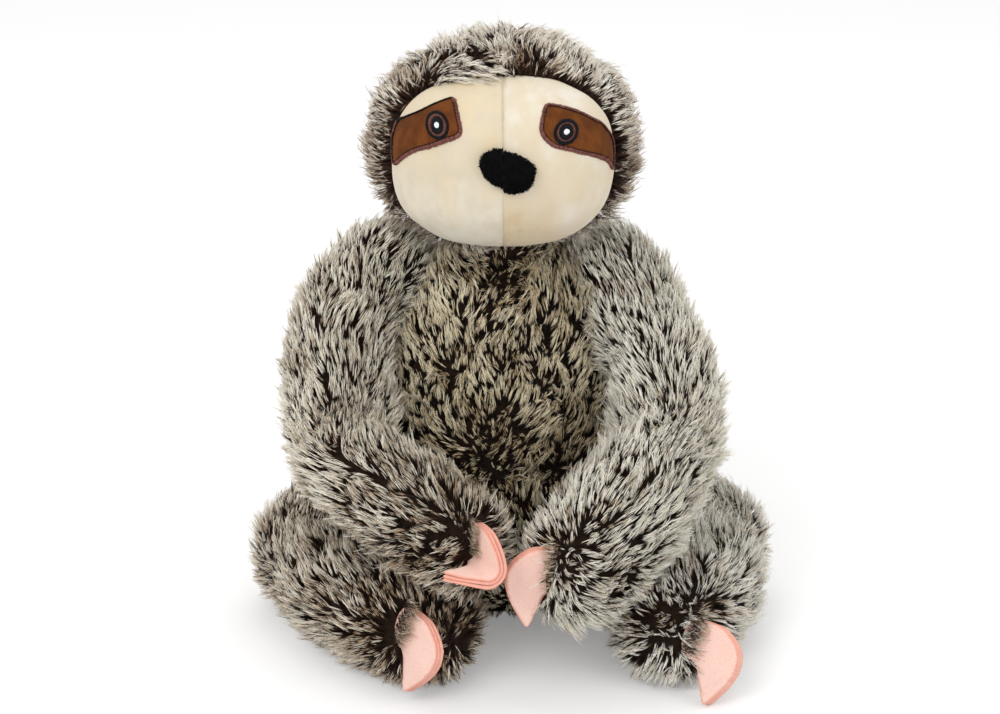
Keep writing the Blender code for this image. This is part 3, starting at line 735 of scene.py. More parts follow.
def useGroup(tree, key, **values):
    node = tree.nodes.new("ShaderNodeGroup")
    node.node_tree = groups[key]
    for label, value in values.items():
        feed(tree, value, node.inputs[label.replace("_", " ")])
    return node.outputs


def layCloth(tree, surface, shader, strength, distance):
    # Joins a cloth group's colour, roughness and height to the shader
    feed(tree, surface["Colour"], shader.inputs["Base Color"])
    feed(tree, surface["Roughness"], shader.inputs["Roughness"])
    bump = tree.nodes.new("ShaderNodeBump")
    bump.inputs["Strength"].default_value = strength
    bump.inputs["Distance"].default_value = distance
    feed(tree, surface["Height"], bump.inputs["Height"])
    feed(tree, bump.outputs[0], shader.inputs["Normal"])


def storedShare(tree, name):
    node = tree.nodes.new("ShaderNodeAttribute")
    node.attribute_name = name
    return node.outputs["Fac"]


def strandMaterial(name, colours, frost=(0.48, 0.63), roughness=0.46, sheen=0.04,
                   specular=0.24):
    made, tree, shader = newMaterial(name, sheen, specular, roughness)
    root, dull, pale = (paint(*colour) for colour in colours)
    uv = tree.nodes.new("ShaderNodeUVMap")
    uv.uv_map = "OFBake"
    parts = tree.nodes.new("ShaderNodeSeparateXYZ")
    feed(tree, uv.outputs[0], parts.inputs[0])
    fibre = useGroup(tree, "frost", Root=root, Dull_Tip=dull, Pale_Tip=pale,
                     Tint=parts.outputs[0], Along=parts.outputs[1], Frost_Start=frost[0],
                     Frost_End=frost[1])
    feed(tree, fibre["Colour"], shader.inputs["Base Color"])
    return made


def napMaterial(name, colour, shade, blotch=0.5, sheen=0.3, bump=0.35, depth=0.0004, warm=None):
    made, tree, shader = newMaterial(name, sheen, 0.15)
    if warm:
        colour = blendColour(tree, storedShare(tree, "warmth"), colour, warm)
    surface = useGroup(tree, "nap", Colour=colour, Shade=shade, Blotch_Amount=blotch)
    layCloth(tree, surface, shader, bump, depth)
    return made


def feltMaterial(name, colour, cut):
    made, tree, shader = newMaterial(name, 0.25, 0.1)
    surface = useGroup(tree, "felt", Colour=colour, Cut_Colour=cut, Cut=storedShare(tree, "cut"))
    layCloth(tree, surface, shader, 0.5, 0.0003)
    return made


# colours of the root, the dullest tip and the palest tip, as a screen shows them
furColours = {
    "torso": ((34, 22, 11), (192, 166, 124), (254, 243, 214)),
    "head": ((60, 35, 20), (190, 164, 134), (255, 249, 236)),
    "arm_left": ((54, 33, 18), (190, 165, 135), (255, 249, 233)),
    "arm_right": ((56, 35, 20), (198, 175, 145), (255, 251, 238)),
    "leg_left": ((48, 29, 16), (186, 160, 130), (254, 247, 231)),
    "leg_right": ((52, 32, 19), (200, 177, 148), (255, 252, 242)),
}
furMaterials = {key: strandMaterial("frostedFur_" + key, colours)
                for key, colours in furColours.items()}
backingMaterial = napMaterial("knitBacking", paint(42, 27, 16), paint(22, 14, 8), blotch=0.6,
                              sheen=0.0)
print("materials made")


def furKey(body):
    if "arm" in body:
        return "arm_" + body.rsplit("_", 1)[1]
    if "leg" in body or "thigh" in body:
        return "leg_" + body.rsplit("_", 1)[1]
    return "torso" if body == "neck" else body


def dressForm(body, surface, nodes):
    # The dark backing cloth of one stuffed form
    made = meshObject("backing_" + body, *surface)
    dress(made, backingMaterial, body, "frosted_fur", *nodes)


def outlineOf(points, step):
    # A smooth closed outline, resampled at even steps
    dense = smoothLine(points, 12, closed=True)
    dense = np.vstack([dense, dense[:1]])
    reach = np.concatenate([[0], np.cumsum(np.linalg.norm(np.diff(dense, axis=0), axis=1))])
    count = int(reach[-1] / step)
    marks = np.linspace(0, reach[-1], count, endpoint=False)
    return np.stack([np.interp(marks, reach, dense[:, i]) for i in range(2)], 1)


def fillOutline(outline, grid):
    # Points over an outline with triangles between them; the outline's own points come first
    low, high = outline.min(0), outline.max(0)
    xs = np.arange(low[0], high[0], grid)
    zs = np.arange(low[1], high[1], grid * 0.87)
    cells = np.array([(x + (grid / 2 if i % 2 else 0), z) for i, z in enumerate(zs) for x in xs])
    cells = cells[inPolygon(cells, outline)]
    cells = cells[edgeGap(cells, outline) > grid * 0.55]
    places = np.vstack([outline, cells])
    count = len(outline)
    edges = [(i, (i + 1) % count) for i in range(count)]
    found = delaunay_2d_cdt([Vector(p) for p in places], edges, [list(range(count))], 1, 1e-7)
    return np.array([tuple(v) for v in found[0]]), [tuple(f) for f in found[2]]


# Felt claws: three cut layers to a paw

clawLook = {
    "length": 54, "width": 30, "felt": 2.0, "gap": 0.3, "foldRadius": 6, "foldTurn": 105,
    "grid": 1.6, "round": 0.9, "cutEdge": (0.1, 1.1), "wave": 0.25, "waveSize": 30,
    # the cut colour is laid along each layer's edge, partly as painted shade between the layers
    "colour": paint(247, 211, 198), "cut": paint(241, 168, 146),
    "shares": [(-0.25, 0.05), (0.3, 0.0), (0.62, 0.07), (0.9, 0.22), (1.0, 0.42), (0.93, 0.64),
               (0.72, 0.88), (0.54, 1.0), (0.36, 0.82), (0.14, 0.57), (-0.25, 0.42)],
}
clawFrames = {
    "hand_left": dict(origin=(-17.26, -157.7, 126.5), turn=62, tip=0, roll=0, side=1, fold=0.34,
                      step=(0.6, 0)),
    "hand_right": dict(origin=(31.82, -160.02, 109.79), turn=0, tip=5, roll=0, side=-1, fold=None,
                       step=(0.4, 0)),
    "foot_left": dict(origin=(-58.91, -160.31, 65.24), turn=38, tip=10, roll=18, side=1, fold=None,
                      step=(0.9, 0)),
    "foot_right": dict(origin=(130.2, -157.91, 57.59), turn=15, tip=15, roll=12, side=1, fold=None,
                       step=(1.5, 0.5)),
}
feltCloth = feltMaterial("pressedFelt_pink", clawLook["colour"], clawLook["cut"])


def clawOutline():
    return np.array(clawLook["shares"]) * (clawLook["width"], clawLook["length"])


def clawMatrix(where):
    turns = ((-where["turn"], "Z"), (-where["tip"], "X"), (where["roll"], "Y"))
    turn, tip, roll = (Matrix.Rotation(radians(angle), 4, axis) for angle, axis in turns)
    axes = Matrix(((where["side"], 0, 0, 0), (0, 0, 1, 0), (0, -1, 0, 0), (0, 0, 0, 1)))
    return Matrix.Translation(Vector(where["origin"]) * mm) @ turn @ tip @ roll @ axes


def folded(places, foldAt):
    radius = clawLook["foldRadius"]
    most = radians(clawLook["foldTurn"])
    down, depth = places[:, 1], places[:, 2]
    bent = down > foldAt
    turn = np.clip((down - foldAt) / radius, 0, most)
    rest = np.where(bent, down - foldAt - radius * turn, 0)
    past = foldAt + (radius + depth) * np.sin(turn) + rest * np.cos(turn)
    back = (radius + depth) * np.cos(turn) - radius - rest * np.sin(turn)
    out = places.copy()
    out[:, 1], out[:, 2] = np.where(bent, past, down), np.where(bent, back, depth)
    return out


def buildClaw(paw, layer, where):
    outline = outlineOf(clawOutline(), 1.0)
    flat, faces = fillOutline(outline, clawLook["grid"])
    gap = edgeGap(flat, outline)
    half = clawLook["felt"] / 2
    inward = 1 - np.clip(gap / clawLook["round"], 0, 1)
    lift = half * np.sqrt(np.clip(1 - inward ** 2, 0.12, 1))
    middle = layer * (clawLook["felt"] + clawLook["gap"]) + half
    level = np.pad(flat, ((0, 0), (0, 1)))
    middle = middle + clawLook["wave"] * wander(level, clawLook["waveSize"], 100 + layer)
    flat = flat + np.array(where["step"]) * layer
    verts = np.vstack([np.column_stack([flat, middle + way * lift]) for way in (1, -1)])
    if where["fold"]:
        verts = folded(verts, where["fold"] * clawLook["length"])
    verts = moved(verts * mm, np.array(clawMatrix(where)))
    made = closedSheet("claw_" + paw + "_felt_" + str(layer + 1), verts, faces)
    work = bmesh.new()
    work.from_mesh(made.data)
    bmesh.ops.recalc_face_normals(work, faces=work.faces)
    work.to_mesh(made.data)
    work.free()
    made.data.shade_smooth()
    # a mask along each layer's cut edge, where the deeper coral and its painted shade go
    storeShare(made, "cut", 1 - ease(np.concatenate([gap, gap]), *clawLook["cutEdge"]))
    dress(made, feltCloth, "claws_" + paw, "pink_felt", "claw_" + paw + "_" + str(layer + 1))
    return made


pawFelt = {}
work = bmesh.new()
for paw, where in clawFrames.items():
    for layer in range(3):
        work.from_mesh(buildClaw(paw, layer, where).data)
    bend = (where["fold"] or 9) * clawLook["length"]
    pawFelt[paw] = (np.array(clawMatrix(where)), outlineOf(clawOutline(), 2.0), bend)
feltTree = BVHTree.FromBMesh(work)
feltSpots = np.array([v.co for v in list(work.verts)[::90]])
work.free()
print("claws cut")

# Fur, body by body

# where the pile parts: centre, size, pull away from it
partings = {
    "torso": [((-13.8, -75, 136), 36, 1.5), ((38, -62, 122), 22, 1.0), ((-52, -50, 132), 18, 1.0),
              ((-36, -52, 186), 15, 0.9), ((30, -55, 178), 13, 0.7), ((0, -50, 260), 26, 0.9)],
    "head": [((-49, -32, 381), 12, 0.2), ((12, -36, 392), 14, 0)],
    "forearm_left": [((-23.6, -151, 124), 30, 2.0), ((-60, -150, 108), 22, 1.4)],
    "forearm_right": [((42, -158, 112), 32, 2.0), ((83, -158, 88), 22, 1.4)],
    "upper_arm_left": [((-111, -89, 165), 16, 1.0)],
    "upper_arm_right": [((112, -96, 170), 16, 1.0)],
    "lower_leg_left": [((-72, -157, 40), 34, 2.2), ((-30, -150, 40), 22, 1.2)],
    "lower_leg_right": [((135, -137, 60), 30, 2.2), ((103, -155, 52), 22, 1.2)],
    "thigh_left": [((-142, -60, 30), 24, 1.4)],
    "thigh_right": [((176, -40, 50), 24, 1.4)],
    "neck": [((0, -34, 262), 30, 2.0)],
}
# where it is combed another way: centre, size, way
combs = {
    "head": [((-37, -32, 388), 11, (5.0, -3.0, -1.0)), ((-26, -34, 391), 11, (5.0, -4.0, -2.0)),
             ((-15, -35, 394), 8, (3.5, -4.0, -2.0))],
}
# where the pile is darker or longer than elsewhere: centre, size, darkening, lengthening. The
# darkening under the chin and beside the right arm is painted shade
spots = {
    "torso": [((-10, -75, 128), 38, 0.36, 0), ((0, -55, 250), 42, 0.42, 0),
              ((54, -62, 155), 24, 0.4, 0)],
    "head": [((-84, -25, 325), 40, 0.72, 0), ((86, -25, 325), 38, 0.52, 0),
             ((0, -55, 270), 50, 0.4, -0.3),
             ((-68, -15, 290), 34, 0.2, 0.5), ((68, -15, 288), 34, 0.2, 0.5),
             ((-37, -32, 388), 12, 0, 0.5), ((-26, -33, 391), 12, 0, 0.5),
             ((12, -38, 390), 14, 0.5, 0), ((40, -36, 384), 16, 0.25, 0),
             ((-62, -25, 370), 18, 0.2, 0)],
    "upper_arm_left": [((-52, -50, 262), 28, 0.45, 0)],
    "upper_arm_right": [((52, -50, 262), 28, 0.5, 0), ((62, -74, 215), 22, 0.45, 0)],
    "forearm_left": [((-50, -130, 120), 45, 0.42, 0)],
    "lower_leg_left": [((-60, -150, 40), 45, 0.34, 0)],
}
tints = {"arm_left": 0.84, "arm_right": 1.02, "leg_left": 0.66, "leg_right": 0.98, "torso": 0.86,
         "head": 0.8}
# what differs from furLook on a kind of body
bodyLooks = {
    "torso": {"lowest": 9, "shorten": lambda p: 0.5 + 0.5 * ease(p[:, 2], 0.012, 0.045)},
    "head": {"lift": 29, "length": 14, "unrest": 0.26, "tuftPull": 0.2},
    "upper_arm": {"tuftPull": 0.16},
    "neck": {"length": 8, "lift": 20},
}


def limbLie(name):
    return lambda points: np.array((0, 0, 0.45)) - limbAxis(name, points)


def torsoLie(points):
    return np.tile((0.0, 0.0, 1.0), (len(points), 1))


def headLie(points):
    away = points - np.array(faceForm["centre"]) * mm
    way = unit(away * (1, 0.35, 1)) + (0, 0.25, 0)
    behind = ease(points[:, 1], 0.015, 0.07)[:, None]
    way = way * (1 - behind) + behind * np.array((0, 0.1, -1))
    # low beside the face the pile lies forward over its seam
    beside = bell(np.maximum(gapTo("face", points), 0), 10)
    beside *= 1 - ease(points[:, 2], 0.285, 0.315)
    return way + beside[:, None] * (0, -1.5, -0.4)


neighbours = {
    "torso": [("upper_arm_left", -9), ("upper_arm_right", -9), ("thigh_left", -9),
              ("thigh_right", -9), ("neck", -4)],
    "upper_arm": [("torso", -9), ("forearm", -9)],
    "forearm": [("upper_arm", -9), ("torso", -9), ("lower_leg", -10)],
    "thigh": [("torso", -9), ("lower_leg", -9)],
    "lower_leg": [("thigh", -9), ("torso", -9), ("forearm", -12)],
}

bodies = ["torso", "head"] + sorted(limbForms)
for number, body in enumerate(bodies):
    offset = furLook["backing"] * mm
    kind, side = (body.rsplit("_", 1) + [""])[:2]
    clear = []
    if body == "torso":
        surface, lie = torsoSurface(offset), torsoLie
        replaced, fill = ["torso_skin", "torso_filling", "seat_pellet_pouch"], 0.7
        near = neighbours["torso"]
    elif body == "head":
        surface, lie = ballSurface(headForm, offset), headLie
        replaced, fill = ["head_skin", "head_filling"], 0.9
        near = [("face", -3), ("neck", -4)]
        clear = [("face", 0.5)]
    else:
        surface, lie = tubeSurface(limbLines[body], offset), limbLie(body)
        replaced, fill = [body + "_skin", body + "_filling"], 0.6
        near = [(form if form == "torso" else form + "_" + side, depth)
                for form, depth in neighbours[kind]]
    dressForm(body, surface, replaced)
    look = {**bodyLooks.get(kind, {}), "spots": spots.get(body, ()), "tint": tints[furKey(body)]}
    paw = body.replace("forearm", "hand").replace("lower_leg", "foot")
    grown = growFur(body, surface, lie, partings.get(body, ()), near, clear, look, number + 11,
                    pawFelt.get(paw), combs.get(body, ()))
    print("fur grown on", body, sum(len(f.data.polygons) for f in grown))

neckSurface = ballSurface(neckForm, 0, 32, 16)
dressForm("neck", neckSurface, ["neck_filling"])
growFur("neck", neckSurface, torsoLie, partings["neck"],
        [("torso", -3), ("head", -2), ("face", 0)], [("face", 0.5)], bodyLooks["neck"], 31)

# Face

faceLook = {
    "around": 64, "rings": 40, "thick": 1.6, "seamDepth": 0.28, "seamWidth": 0.8,
    # soft creases by the seam: from, to, depth, width, mm
    "creases": [((-10.5, 55.5), (-4.8, 48.5), 1.4, 1.9), ((9, 54), (3, 48), 0.5, 2.4)],
    "pucker": (0.5, 49, 10, 1.6),   # its depth, place up the seam, reach and size, mm
    "stitches": (0.16, 1.4, 0.4),   # their depth, reach and size, mm
    "unevenness": 0.35,
    "left": dict(colour=paint(230, 223, 206), shade=paint(214, 202, 180),
                 warm=paint(222, 200, 160), slot="cream_plush"),
    "right": dict(colour=paint(231, 224, 211), shade=paint(219, 204, 174),
                  warm=paint(207, 178, 136), slot="peach_plush"),
}
faceCentre = np.array(faceForm["centre"]) * mm
faceHalves = np.array(faceForm["halves"]) * mm


def onFace(x, z, out=0.0):
    # The place on the face's dome over (x, z), counted from the face's centre, metres
    x, z = np.asarray(x, float), np.asarray(z, float)
    boxy = faceForm["boxy"]
    across = (np.abs(x / faceHalves[0]) ** boxy + np.abs(z / faceHalves[2]) ** boxy) ** (1 / boxy)
    depth = -faceHalves[1] * np.sqrt(np.maximum(1 - across ** 2, 0))
    spot = np.stack([x, depth, z], -1)
    wide = np.abs(x / faceHalves[0]) ** (boxy - 1) * np.sign(x) / faceHalves[0]
    tall = np.abs(z / faceHalves[2]) ** (boxy - 1) * np.sign(z) / faceHalves[2]
    scale = np.maximum(across, 1e-4) ** (2 - boxy)
    normal = unit(np.stack([wide * scale, depth / faceHalves[1] ** 2, tall * scale], -1))
    spot = spot + faceCentre + normal * np.asarray(out)[..., None]
    return spot, normal


def buildFacePanel(side, sign):
    values = faceLook
    turns = np.linspace(0, pi, values["around"] + 1) - pi / 2
    boxy = faceForm["boxy"]
    verts, faces = [], []
    steps = np.linspace(0, 1, values["rings"] + 1) ** 0.85
    for share in steps:
        tilt = share * pi / 2
        for turn in turns:
            c, s = cos(turn) * sign, sin(turn)
            size = (abs(c) ** boxy + abs(s) ** boxy) ** (1 / boxy)
            verts.append((sin(tilt) * c / size, -cos(tilt), sin(tilt) * s / size))
    verts = np.array(verts) * faceHalves
    normal = unit(verts / faceHalves ** 2)
    across = np.abs(verts[:, 0])
    dip = values["seamDepth"] * mm * bell(across, values["seamWidth"])
    for start, end, depth, width in values["creases"]:
        far, share = lineGap(verts[:, [0, 2]], np.array(start) * mm, np.array(end) * mm)
        dip += depth * mm * (1 - 0.6 * share) * bell(far, width)
    z = verts[:, 2]
    depth, place, reach, size = values["pucker"]
    raised = depth * bell(z - place * mm, reach) * bell(across, reach) * np.sin(across / size / mm)
    depth, reach, size = values["stitches"]
    raised += depth * bell(across, reach) * np.sin(z / size / mm)
    soft = wander(verts, 0.03, 40 + (sign > 0)) * ease(across, 0.004, 0.02)
    raised += values["unevenness"] * soft
    verts = verts + normal * (raised * mm - dip)[:, None] + faceCentre
    row = len(turns)
    for i in range(values["rings"]):
        for j in range(values["around"]):
            a = i * row + j
            quad = (a, a + 1, a + row + 1, a + row)
            faces.append(quad if sign > 0 else quad[::-1])
    made = meshObject("face_" + side, verts, faces)
    work = bmesh.new()
    work.from_mesh(made.data)
    bmesh.ops.remove_doubles(work, verts=work.verts, dist=1e-6)
    front = max(work.faces, key=lambda f: f.calc_area())
    if front.normal.dot(front.calc_center_median() - Vector(faceCentre)) < 0:
        bmesh.ops.reverse_faces(work, faces=work.faces)
    spots = np.array([v.co for v in work.verts]) - faceCentre
    work.to_mesh(made.data)
    work.free()
    high = ease(spots[:, 2], -0.045, 0.035)
    seam = bell(spots[:, 0], 34) * (1 - high)
    warm = high * 0.75 if sign < 0 else 0.12 + 0.95 * seam
    warm = np.clip(warm + 0.12 * wander(spots, 0.03, 44), 0, 1)
    storeShare(made, "warmth", warm)
    thick = made.modifiers.new("cloth", "SOLIDIFY")
    thick.thickness = values["thick"] * mm
    thick.offset = -1
    colours = values[side]
    plush = napMaterial("shortPlush_" + side, colours["colour"], colours["shade"], blotch=0.75,
                        sheen=0.12, bump=0.5, warm=colours["warm"])
    dress(made, plush, "head", colours["slot"], "face_panel_" + side)


buildFacePanel("left", -1)
buildFacePanel("right", 1)
print("face built")

# Eye patches, their stitched borders and the embroidered eyes

patchLook = {
    "outlines": {
        "left": [(-61.9, 33.5), (-55.6, 37.4), (-49.3, 41.1), (-43.6, 44.1), (-37.9, 46.5),
                 (-32.9, 48.1), (-30.6, 47.5), (-29.6, 45.3), (-28.3, 41.1), (-26.7, 35.7),
                 (-26.1, 31.5), (-28.5, 27.8), (-35.7, 25.0), (-44.5, 20.9), (-55.3, 15.8),
                 (-63.2, 9.4), (-70.2, 1.2), (-71.6, 4.0), (-71.8, 14.0), (-70.5, 22.0),
                 (-67.0, 29.0)],
        "right": [(26.3, 44.9), (30.1, 45.5), (37.6, 43.8), (45.2, 41.1), (52.2, 37.6),
                  (57.3, 34.2), (62.6, 30.4), (66.8, 25.0), (70.0, 19.0), (71.6, 12.0),
                  (71.8, 3.0), (71.2, -3.0), (67.9, 4.0), (63.8, 8.3), (57.1, 12.3), (48.1, 16.2),
                  (41.1, 19.1), (32.9, 21.8), (28.6, 24.7), (24.9, 28.6), (23.3, 32.2),
                  (23.4, 35.9), (24.7, 40.9)],
    },
    # the pad: its rise at the rim, within which distance, and more to its middle, mm
    "rise": 1.0, "soften": 0.8, "crown": 0.3, "top": 0.1, "under": -0.3, "grid": 1.5,
    "velour": paint(118, 66, 26), "velourShade": paint(78, 41, 15),
    # stitches' heights at their inner and outer ends, mm
    "heights": {"mauve": (1.15, 0.25), "dark": (0.9, 0.2)}, "satin": 0.55,
    # the edge that is turned under: above a line through a point, as far as an x
    "turned": {"point": (-70, 26), "slope": 0.4, "until": -32.5},
    "stitch": 2.1, "thinStitch": 0.6, "spacing": 0.40, "thread": 0.44, "jitter": 0.09,
    "grooveShadeWidth": 0.6,
}


def buildPatch(side, outline):
    # A crowned pad laid over the face's dome, closed underneath
    flat, faces = fillOutline(outline * mm, patchLook["grid"] * mm)
    gap = edgeGap(flat, outline * mm)
    lift = patchLook["rise"] * (1 - np.exp(-gap / (patchLook["soften"] * mm)))
    lift += patchLook["crown"] * ease(gap, 0, 0.008) + patchLook["top"]
    top, under = (onFace(*flat.T, out * mm)[0] for out in (lift, patchLook["under"]))
    turned = []
    for f in faces:
        a, b, c = (top[i] for i in f[:3])
        turned.append(f if np.cross(b - a, c - a)[1] < 0 else f[::-1])
    return closedSheet("patch_" + side, np.vstack([top, under]), turned)


# each thread's root, dull and pale colours, then its frost, roughness, sheen and specular
threadLook = {
    "mauve": (((70, 37, 33), (112, 66, 60), (146, 96, 88)), (0.0, 0.25), 0.6, 0.0, 0.2),
    "dark": (((8, 8, 10), (12, 12, 15), (26, 26, 32)), (0.0, 0.25), 0.6, 0.0, 0.15),
    # line: a dark thread that stands as painted shade in the patch's groove
    "line": (((34, 18, 14), (40, 22, 17), (52, 30, 24)), (0.0, 0.25), 0.6, 0.0, 0.1),
    "brown": (((58, 34, 28), (92, 56, 48), (124, 80, 70)), (0.0, 0.25), 0.6, 0.0, 0.2),
    "white": (((225, 225, 226), (240, 240, 240), (252, 252, 252)), (0.0, 0.2), 0.4, 0.1, 0.24),
}
threadMaterials = {tone: strandMaterial("satinThread_" + tone, *values)
                   for tone, values in threadLook.items()}


def satinStitches(name, inner, outer, look, seed, ends, height):
    # A closely set row of threads, each laid from a point of one line to a point of the other
    source = np.random.default_rng(seed)
    count = len(inner)
    shares, buried = (0, 0.12, 0.38, 0.62, 0.88, 1), -0.45
    jitter = source.normal(size=(count, 2)) * look["jitter"]
    paths = []
    for share in shares:
        spot = inner * (1 - share) + outer * share
        spot = spot + (outer - inner) * (jitter[:, :1] if share > 0.5 else jitter[:, 1:])
        lift = height * (1 - abs(share * 2 - 1) ** 2.6) * (1 + 0.08 * source.normal(size=count))
        base = ends[0] * (1 - share) + ends[1] * share
        lift = np.where(share in (0, 1), buried, lift) + base
        place, normal = onFace(spot[:, 0] * mm, spot[:, 1] * mm, lift * mm)
        paths.append(place)
    paths = np.stack(paths, 1)
    radii = np.full((count, len(shares)), look["thread"] * 0.5 * mm)
    radii *= source.uniform(0.85, 1.2, (count, 1))
    tints = np.clip(0.5 + source.normal(size=count) * 0.32, 0, 1)
    return strandMesh(name, paths, radii, normal, 4, tints)


def offsetOutline(outline, distance):
    ways = unit(np.roll(outline, -1, 0) - np.roll(outline, 1, 0))
    turn = np.sign(np.sum(outline[:, 0] * np.roll(outline[:, 1], -1)
                          - np.roll(outline[:, 0], -1) * outline[:, 1]))
    return outline + turn * distance * np.stack([ways[:, 1], -ways[:, 0]], 1)


def evenWidth(outline, width, step=0.3, allowed=1.25):
    # Narrows a border where the dome stretches it by more than is allowed
    beside = [onFace(*(offsetOutline(outline, way) * mm).T)[0] for way in (step, -step)]
    spread = np.linalg.norm(beside[0] - beside[1], axis=1) / (2 * step * mm)
    return width / np.maximum(spread / allowed, 1)


velourMaterial = napMaterial("saddleVelour", patchLook["velour"], patchLook["velourShade"],
                             blotch=0.8, sheen=0.0, bump=0.7)
for side, sign in (("left", -1), ("right", 1)):
    outline = outlineOf(patchLook["outlines"][side], patchLook["spacing"])
    dress(buildPatch(side, outline[::3]), velourMaterial, "head", "saddle_velour",
          "eye_patch_" + side)
    border = evenWidth(outline, patchLook["stitch"])
    thin = np.zeros(len(outline), bool)
    if side == "left":
        # its upper edge is turned under, so that only a thin line of stitching shows
        edge = patchLook["turned"]
        away = outline - edge["point"]
        thin = (away[:, 1] > edge["slope"] * away[:, 0]) & (outline[:, 0] < edge["until"])
    width = np.where(thin, patchLook["thinStitch"], border)
    inner = offsetOutline(outline, -width[:, None] * 0.85)
    outer = offsetOutline(outline, width[:, None] * 0.15)
    for tone, chosen in (("mauve", ~thin), ("dark", thin)):
        if not chosen.any():
            continue
        row = satinStitches("stitching_" + tone + "_" + side, inner[chosen], outer[chosen],
                            patchLook, 50 + sign, patchLook["heights"][tone], patchLook["satin"])
        replaced = ["patch_stitching_" + side] if tone == "mauve" else []
        dress(row, threadMaterials[tone], "head", "mauve_thread", *replaced)
    # a dark thread lies in the groove inside the mauve border, as painted shade in that groove
    groove = offsetOutline(outline, -border[:, None])[~thin][::3] * mm
    place, normal = onFace(*groove.T, patchLook["heights"]["mauve"][0] * mm)
    radii = np.full((1, len(groove)), patchLook["grooveShadeWidth"] * 0.5 * mm)
    line = strandMesh("groove_shade_line_" + side, place[None], radii, normal.mean(0)[None], 4,
                      np.array([0.3]))
    dress(line, threadMaterials["line"], "head", "mauve_thread")
print("patches stitched")

eyeLook = {
    "left": dict(centre=(-41.3, 33.0), halves=(7.4, 7.4), ring=1.5, pupil=(4.0, 4.9),
                 highlight=(1.45, 1.75)),
    "right": dict(centre=(39.4, 29.7), halves=(7.8, 7.0), ring=1.9, pupil=(4.6, 4.6),
                  highlight=(1.75, 1.75)),
    "thread": 0.36, "jitter": 0.045, "spacing": 0.27, "overlap": 0.1, "up": 1.35,
    # the highlight's threads lie wider apart and higher
    "shineSpacing": 0.24, "shineRise": 0.55,
}


for side, sign in (("left", -1), ("right", 1)):
    eye = eyeLook[side]
    centre, halves = np.array(eye["centre"]), np.array(eye["halves"])
    ring, pupil, shine = halves - eye["ring"], np.array(eye["pupil"]), np.array(eye["highlight"])
    up, overlap = eyeLook["up"], eyeLook["overlap"]
    high = up + eyeLook["shineRise"]
    rows = (("eye_ring", halves, ring, "dark", "black_thread", 0.7),
            ("eye_iris", ring, pupil, "brown", "brown_thread", 0.5),
            ("eye_pupil", pupil, pupil * 0.06, "dark", "black_thread", 0.65))
    for label, outside, inside, tone, slot, height in rows:
        count = max(12, int(pi * (outside[0] + outside[1]) / eyeLook["spacing"]))
        turns = np.linspace(0, 2 * pi, count, endpoint=False)
        wheel = np.stack([np.cos(turns), np.sin(turns)], 1)
        inner, outer = centre + wheel * (inside - overlap), centre + wheel * (outside + overlap)
        row = satinStitches(label + "_threads_" + side, inner, outer, eyeLook, 60 + sign,
                            (up, up), height)
        dress(row, threadMaterials[tone], "head", slot, label + "_" + side)
    spacing = eyeLook["shineSpacing"]
    columns = np.arange(-shine[0] + spacing / 2, shine[0], spacing)
    tall = shine[1] * np.sqrt(np.maximum(1 - (columns / shine[0]) ** 2, 0.05))
    lower, upper = (centre + np.stack([columns, way * tall], 1) for way in (-1, 1))
    row = satinStitches("eye_highlight_threads_" + side, lower, upper, eyeLook, 70 + sign,
                        (high, high), 0.5)
    dress(row, threadMaterials["white"], "head", "white_thread", "eye_highlight_" + side)
print("eyes stitched")

# Nose: two halves of looped black plush, sewn a little out of line

noseLook = {
    "centre": (3, -55, 10), "depth": 9.5, "slip": 1.6, "scale": 1.07,
    "loops": 1500000, "pile": 1.3, "width": 0.55, "unrest": 1.2,
    # how far a loop rises and leans at its middle and at its tip, as shares of its pile
    "bend": ((0.55, 0.18), (0.8, 0.62)),
    "outline": [(-16.9, 3.3), (-14.8, 9.0), (-8.7, 12.4), (-2.4, 12.5), (6.2, 10.0), (12.3, 6.8),
                (16.6, 2.1), (16.1, -2.2), (13.8, -8.8), (8.8, -12.1), (2.7, -13.0),
                (-2.9, -11.8), (-4.8, -10.2), (-8.5, -8.4), (-13.5, -4.6)],
}


def noseSurface(slip, offset):
    # A low dome over the nose's outline, closed by a shallower one behind it
    outline = outlineOf(noseLook["outline"], 1.4) * noseLook["scale"]
    centre = np.array(faceForm["centre"]) + noseLook["centre"] - (0, 0, slip)
    rings = []
    for a in np.linspace(radians(6), radians(150), 22):
        deep = noseLook["depth"] if a < pi / 2 else noseLook["depth"] * 0.8
        spread = sin(a) * (1 + offset / 16)
        rings.append([mm * (centre + (x * spread, -cos(a) * (deep + offset), z * spread))
                      for x, z in outline])
    return ringsMesh(rings, mm * (centre - (0, noseLook["depth"] + offset, 0)),
                     mm * (centre + (0, noseLook["depth"] * 0.75, 0)))


